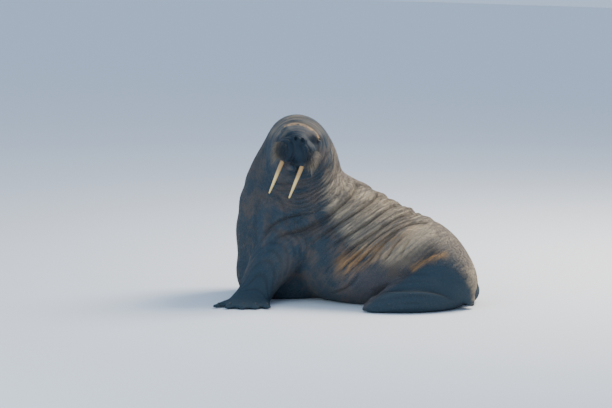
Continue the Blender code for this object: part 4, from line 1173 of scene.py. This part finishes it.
whiskers = new_mesh("whiskers", HEAD_AT + each.reshape(-1, 3) @ HEAD.T + TO_MIDDLE, tris)
share = np.concatenate((np.repeat(np.linspace(0, 1, WHISKER_RINGS), 4), (0, 1)))
mark(whiskers, "along", np.tile(share, count))
pale = step(np.linalg.norm((roots[:, 1:] - (0, -0.10)) / (0.150, 0.135), axis=1), 0.62, 1.0)
mark(whiskers, "pale", np.repeat(pale * draw.uniform(0.2, 0.9, count), each.shape[1]))
quill = Finish("quill", Roughness=0.38, IOR=1.5)
pale = quill.attribute("pale") * quill.ramp(quill.attribute("along"), 0.05, 0.55)
quill.set(Base_Color=quill.mix(pale, QUILL_DARK, QUILL_PALE))
whiskers.data.materials.append(quill.material)
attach(whiskers, "root")


# The nails.
# Small horny claws on top of the fore flippers' digits, set back from the edge of the web.
# Each is a low arched bar, blunt at the tip, that grows out of the hide.
NAIL_LENGTH = 0.021
NAIL_HALF_WIDTH = 0.0055
NAIL_HEIGHT = 0.0045
NAIL_BACK = 0.045
NAIL_RINGS = 9
NAIL_SIDES = 12
NAIL_START = 0.0012
NAIL_ARCH = 0.0022
NAIL_FALL = 0.0032
NAIL_CLEAR = 0.0005
HORN_DARK = (0.030, 0.024, 0.020)
HORN_PALE = (0.085, 0.070, 0.055)

nail_points, nail_tris = [], []
for side in (-1, 1):
    for start, end in digit_ends(side):
        way = unit(end - start) * (1, 1, 0)
        base = settle((end - way * NAIL_BACK + (0, 0, 0.02))[None], 4)[0]
        cross = unit(np.cross((0, 0, 1), way))
        t = np.linspace(0, 1, NAIL_RINGS)[:, None]
        turn = np.linspace(0, 2 * pi, NAIL_SIDES, endpoint=False)[None]
        size = np.sqrt(np.clip(1 - (1.9 * t - 0.9) ** 2 * (t > 0.47), 0.01, 1)) * (0.75 + 0.25 * t)
        rise = NAIL_START + NAIL_ARCH * np.sin(pi * t) - NAIL_FALL * t
        tube = (base + way * (NAIL_LENGTH * t)[..., None]
                + cross * (NAIL_HALF_WIDTH * size * np.cos(turn))[..., None]
                + np.array((0, 0, 1)) * (rise + NAIL_HEIGHT * size * np.sin(turn))[..., None])
        ends = tube.mean(axis=1)[[0, -1]]
        nail_tris.append(carried(NAIL_RINGS, NAIL_SIDES) + sum(len(p) for p in nail_points))
        nail_points.append(np.concatenate((tube.reshape(-1, 3), ends)))
nails = np.concatenate(nail_points)
nails[:, 2] = np.maximum(nails[:, 2], NAIL_CLEAR)
nails = new_mesh("nails", nails + TO_MIDDLE, np.concatenate(nail_tris))
shape = bmesh.new()
shape.from_mesh(nails.data)
bmesh.ops.recalc_face_normals(shape, faces=shape.faces)
shape.to_mesh(nails.data)
shape.free()
horn = Finish("horn", Roughness=0.42)
grain = horn.noise(horn.stretch(horn.place(), (600, 90, 600)), 1.0, 3)
horn.set(Base_Color=horn.mix(grain, HORN_DARK, HORN_PALE), Normal=horn.bump(grain, 0.0006, 0.5))
nails.data.materials.append(horn.material)
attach(nails, "root")


# The coat.
# Short flat hair over the hide, thinnest on the face and feet.  Each tuft is a three-sided
# sliver rooted in the skin that tapers to a point and lies along the body, so they overlap.
TUFT_RISE = radians(9)
TUFT_SPREAD = radians(16)
TUFT_PATCH = 0.003
CHART_MARGIN = 0.02
TRUNK_REACH = 0.33
LIMB_REACH = 0.13
ROOT_DEPTH = 0.0009
# The corners of a tuft: root left, right and top, middle left, right and top, and tip.  These
# are its faces, and each corner's place in the tuft's patch of the unwrap.
SLIVER = np.array(((0, 1, 2), (0, 3, 4), (0, 4, 1), (1, 4, 5), (1, 5, 2), (2, 5, 3),
                   (2, 3, 0), (3, 6, 4), (4, 6, 5), (5, 6, 3)))
SLIVER_PATCH = np.array(((-0.5, -0.5), (0.5, -0.5), (0, -0.4), (-0.35, 0), (0.35, 0), (0, 0.1),
                         (0, 0.5)))
TUFT_CORNERS = len(SLIVER_PATCH)

skin_normals = np.empty(len(skin.data.vertices) * 3, np.float32)
skin.data.vertices.foreach_get("normal", skin_normals)
skin_normals = skin_normals.reshape(-1, 3).astype(float)
corner_of = np.empty(len(skin.data.polygons) * 3, np.int32)
skin.data.polygons.foreach_get("vertices", corner_of)
corner_of = corner_of.reshape(-1, 3)
corner_points = points[corner_of]
face_area = np.linalg.norm(np.cross(corner_points[:, 1] - corner_points[:, 0],
                                    corner_points[:, 2] - corner_points[:, 0]), axis=1) / 2
face_middle = corner_points.mean(axis=1)


def lie_of_coat(roots):
    """The way the hair lies: back along the trunk and down the limbs, each length weighed by
    exp(-3 (d/r)^2) for its distance d and reach r, and back and down over the head."""
    way = np.zeros((len(roots), 3))
    runs = [(TRUNK_RUN, -1.0)]
    for side in (-1, 1):
        runs += [(ARM_RUN[side], 1.0), (UPPER_RUN[side], 1.0)]
    for (middles, _, axes), sense in runs:
        gap = ((roots[:, None] - middles[None]) ** 2).sum(axis=2)
        reach = TRUNK_REACH if sense < 0 else LIMB_REACH
        weight = np.exp(-(np.sqrt(gap) / reach) ** 2 * 3)
        way += sense * weight @ axes[:, :, 0]
    way = unit(way) + (0.0, 0.0, -0.25)
    local = to_head(roots)
    head_share = (1 - step(np.linalg.norm(local - (0.0, 0.0, -0.08), axis=1), 0.22, 0.36))[:, None]
    over_head = HEAD @ unit((-1.0, 0.0, -0.55))
    return unit(way * (1 - head_share) + over_head * head_share)


def charts(roots, facing):
    """Places on an unwrap of the skin: six charts by the way that the skin faces, in two rows
    of three, each spread over the box of the piece."""
    axis = np.abs(facing).argmax(axis=1)
    toward = (np.take_along_axis(facing, axis[:, None], 1)[:, 0] > 0).astype(int)
    spread = (roots - roots.min(axis=0)) / (np.ptp(roots, axis=0) + 1e-9)
    first = np.take_along_axis(spread, ((axis + 1) % 3)[:, None], 1)[:, 0]
    second = np.take_along_axis(spread, ((axis + 2) % 3)[:, None], 1)[:, 0]
    inset = 1 - 2 * CHART_MARGIN
    across = (axis + CHART_MARGIN + inset * first) / 3
    over = (toward + CHART_MARGIN + inset * second) / 2
    return np.stack((across, over), axis=1)


def tufts(name, chosen, count, length, width, seed):
    """One piece of the coat: tufts on the chosen faces, spread evenly by area."""
    draw = np.random.default_rng(seed)
    weight = face_area * chosen
    at = (np.arange(count) + draw.uniform(0, 1, count)) / count
    face = np.searchsorted(np.cumsum(weight) / weight.sum(), at)
    share = draw.dirichlet((1, 1, 1), count)
    corners = corner_of[np.clip(face, 0, len(corner_of) - 1)]
    roots = (points[corners] * share[..., None]).sum(axis=1)
    facing = unit((skin_normals[corners] * share[..., None]).sum(axis=1))
    way = lie_of_coat(roots)
    way = unit(way - (way * facing).sum(axis=1)[:, None] * facing)
    beside_way = np.cross(facing, way)
    swing = draw.normal(0, TUFT_SPREAD, count)[:, None]
    way = way * np.cos(swing) + beside_way * np.sin(swing)
    beside_way = np.cross(facing, way)
    rise = draw.uniform(0.4, 1.3, count)[:, None] * TUFT_RISE
    long = (length * draw.uniform(0.7, 1.3, count))[:, None]
    wide = (width * draw.uniform(0.7, 1.3, count))[:, None]
    start = roots - ROOT_DEPTH * facing
    half = start + way * long * 0.5 + facing * long * 0.5 * np.sin(rise)
    tip = start + way * long + facing * long * 0.62 * np.sin(rise)
    high = 0.45 * wide * facing
    each = np.stack((start - wide * beside_way / 2, start + wide * beside_way / 2, start + high,
                     half - wide * beside_way * 0.36, half + wide * beside_way * 0.36,
                     half + high * 0.8, tip), axis=1)
    each[..., 2] = np.maximum(each[..., 2], 0.0)
    tris = (np.arange(count)[:, None, None] * TUFT_CORNERS + SLIVER[None]).reshape(-1, 3)
    piece = new_mesh(name, each.reshape(-1, 3) + TO_MIDDLE, tris)
    # Each tuft takes the hide's markings at its root, the painted light and shade among them.
    for key, values in skin_marks.items():
        at_root = (values[corners] * share).sum(axis=1)
        mark(piece, key, np.repeat(at_root, TUFT_CORNERS))
    lie_at_root = (lie[corners] * share[..., None]).sum(axis=1)
    mark(piece, "lie", np.repeat(lie_at_root, TUFT_CORNERS, axis=0))
    patch = charts(roots, facing)[:, None] + TUFT_PATCH * SLIVER_PATCH[None]
    laid = piece.data.uv_layers.new(name="OFBake")
    laid.data.foreach_set("uv", patch.reshape(-1, 2)[tris.ravel()].astype(np.float32).ravel())
    piece.data.materials.append(hair.material)
    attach(piece, "root")


hair = Finish("short_hair", Roughness=0.6, Specular_IOR_Level=0.30)
hair.set(Base_Color=hide_colour(hair, paler=0.10))

local = to_head(face_middle)
out_from_middle = np.abs(face_middle[:, 1] - LIMB_AXIS)
from_head = np.linalg.norm(local - (-0.02, 0.0, -0.06), axis=1)
from_eyes = np.min([np.linalg.norm(face_middle - spot, axis=1) for spot in eye_spots], axis=0)
grows = (face_middle[:, 2] > 0.012) & (from_eyes > 0.026)
grows &= ~((local[:, 0] > 0.06) & (local[:, 2] < -0.16) & (local[:, 2] > -0.25))
# Regions of the coat, the first that fits: head, arms, neck, breast, feet, rump, left flank,
# and else right flank.
region = np.select([from_head < 0.27,
                    (face_middle[:, 0] < 0) & (out_from_middle > 0.40),
                    (face_middle[:, 0] < 0.05) & (face_middle[:, 2] > 0.80),
                    face_middle[:, 0] < -0.22,
                    skin_marks["limb"][corner_of].mean(axis=1) > 0.5,
                    face_middle[:, 0] > 0.40,
                    face_middle[:, 1] < MIDDLE],
                   [0, 1, 2, 3, 4, 5, 6], 7)
# Each region's name, number of tufts, and their length and width.
for number, (name, count, length, width) in enumerate((
        ("coat_head", 17000, 0.0075, 0.0016), ("coat_arms", 9000, 0.010, 0.0020),
        ("coat_neck", 15000, 0.015, 0.0024), ("coat_breast", 18000, 0.017, 0.0027),
        ("coat_feet", 9000, 0.010, 0.0020), ("coat_rump", 15000, 0.016, 0.0026),
        ("coat_flank_left", 17000, 0.016, 0.0026), ("coat_flank_right", 15000, 0.017, 0.0028))):
    tufts(name, grows & (region == number), count, length, width, 20 + number)
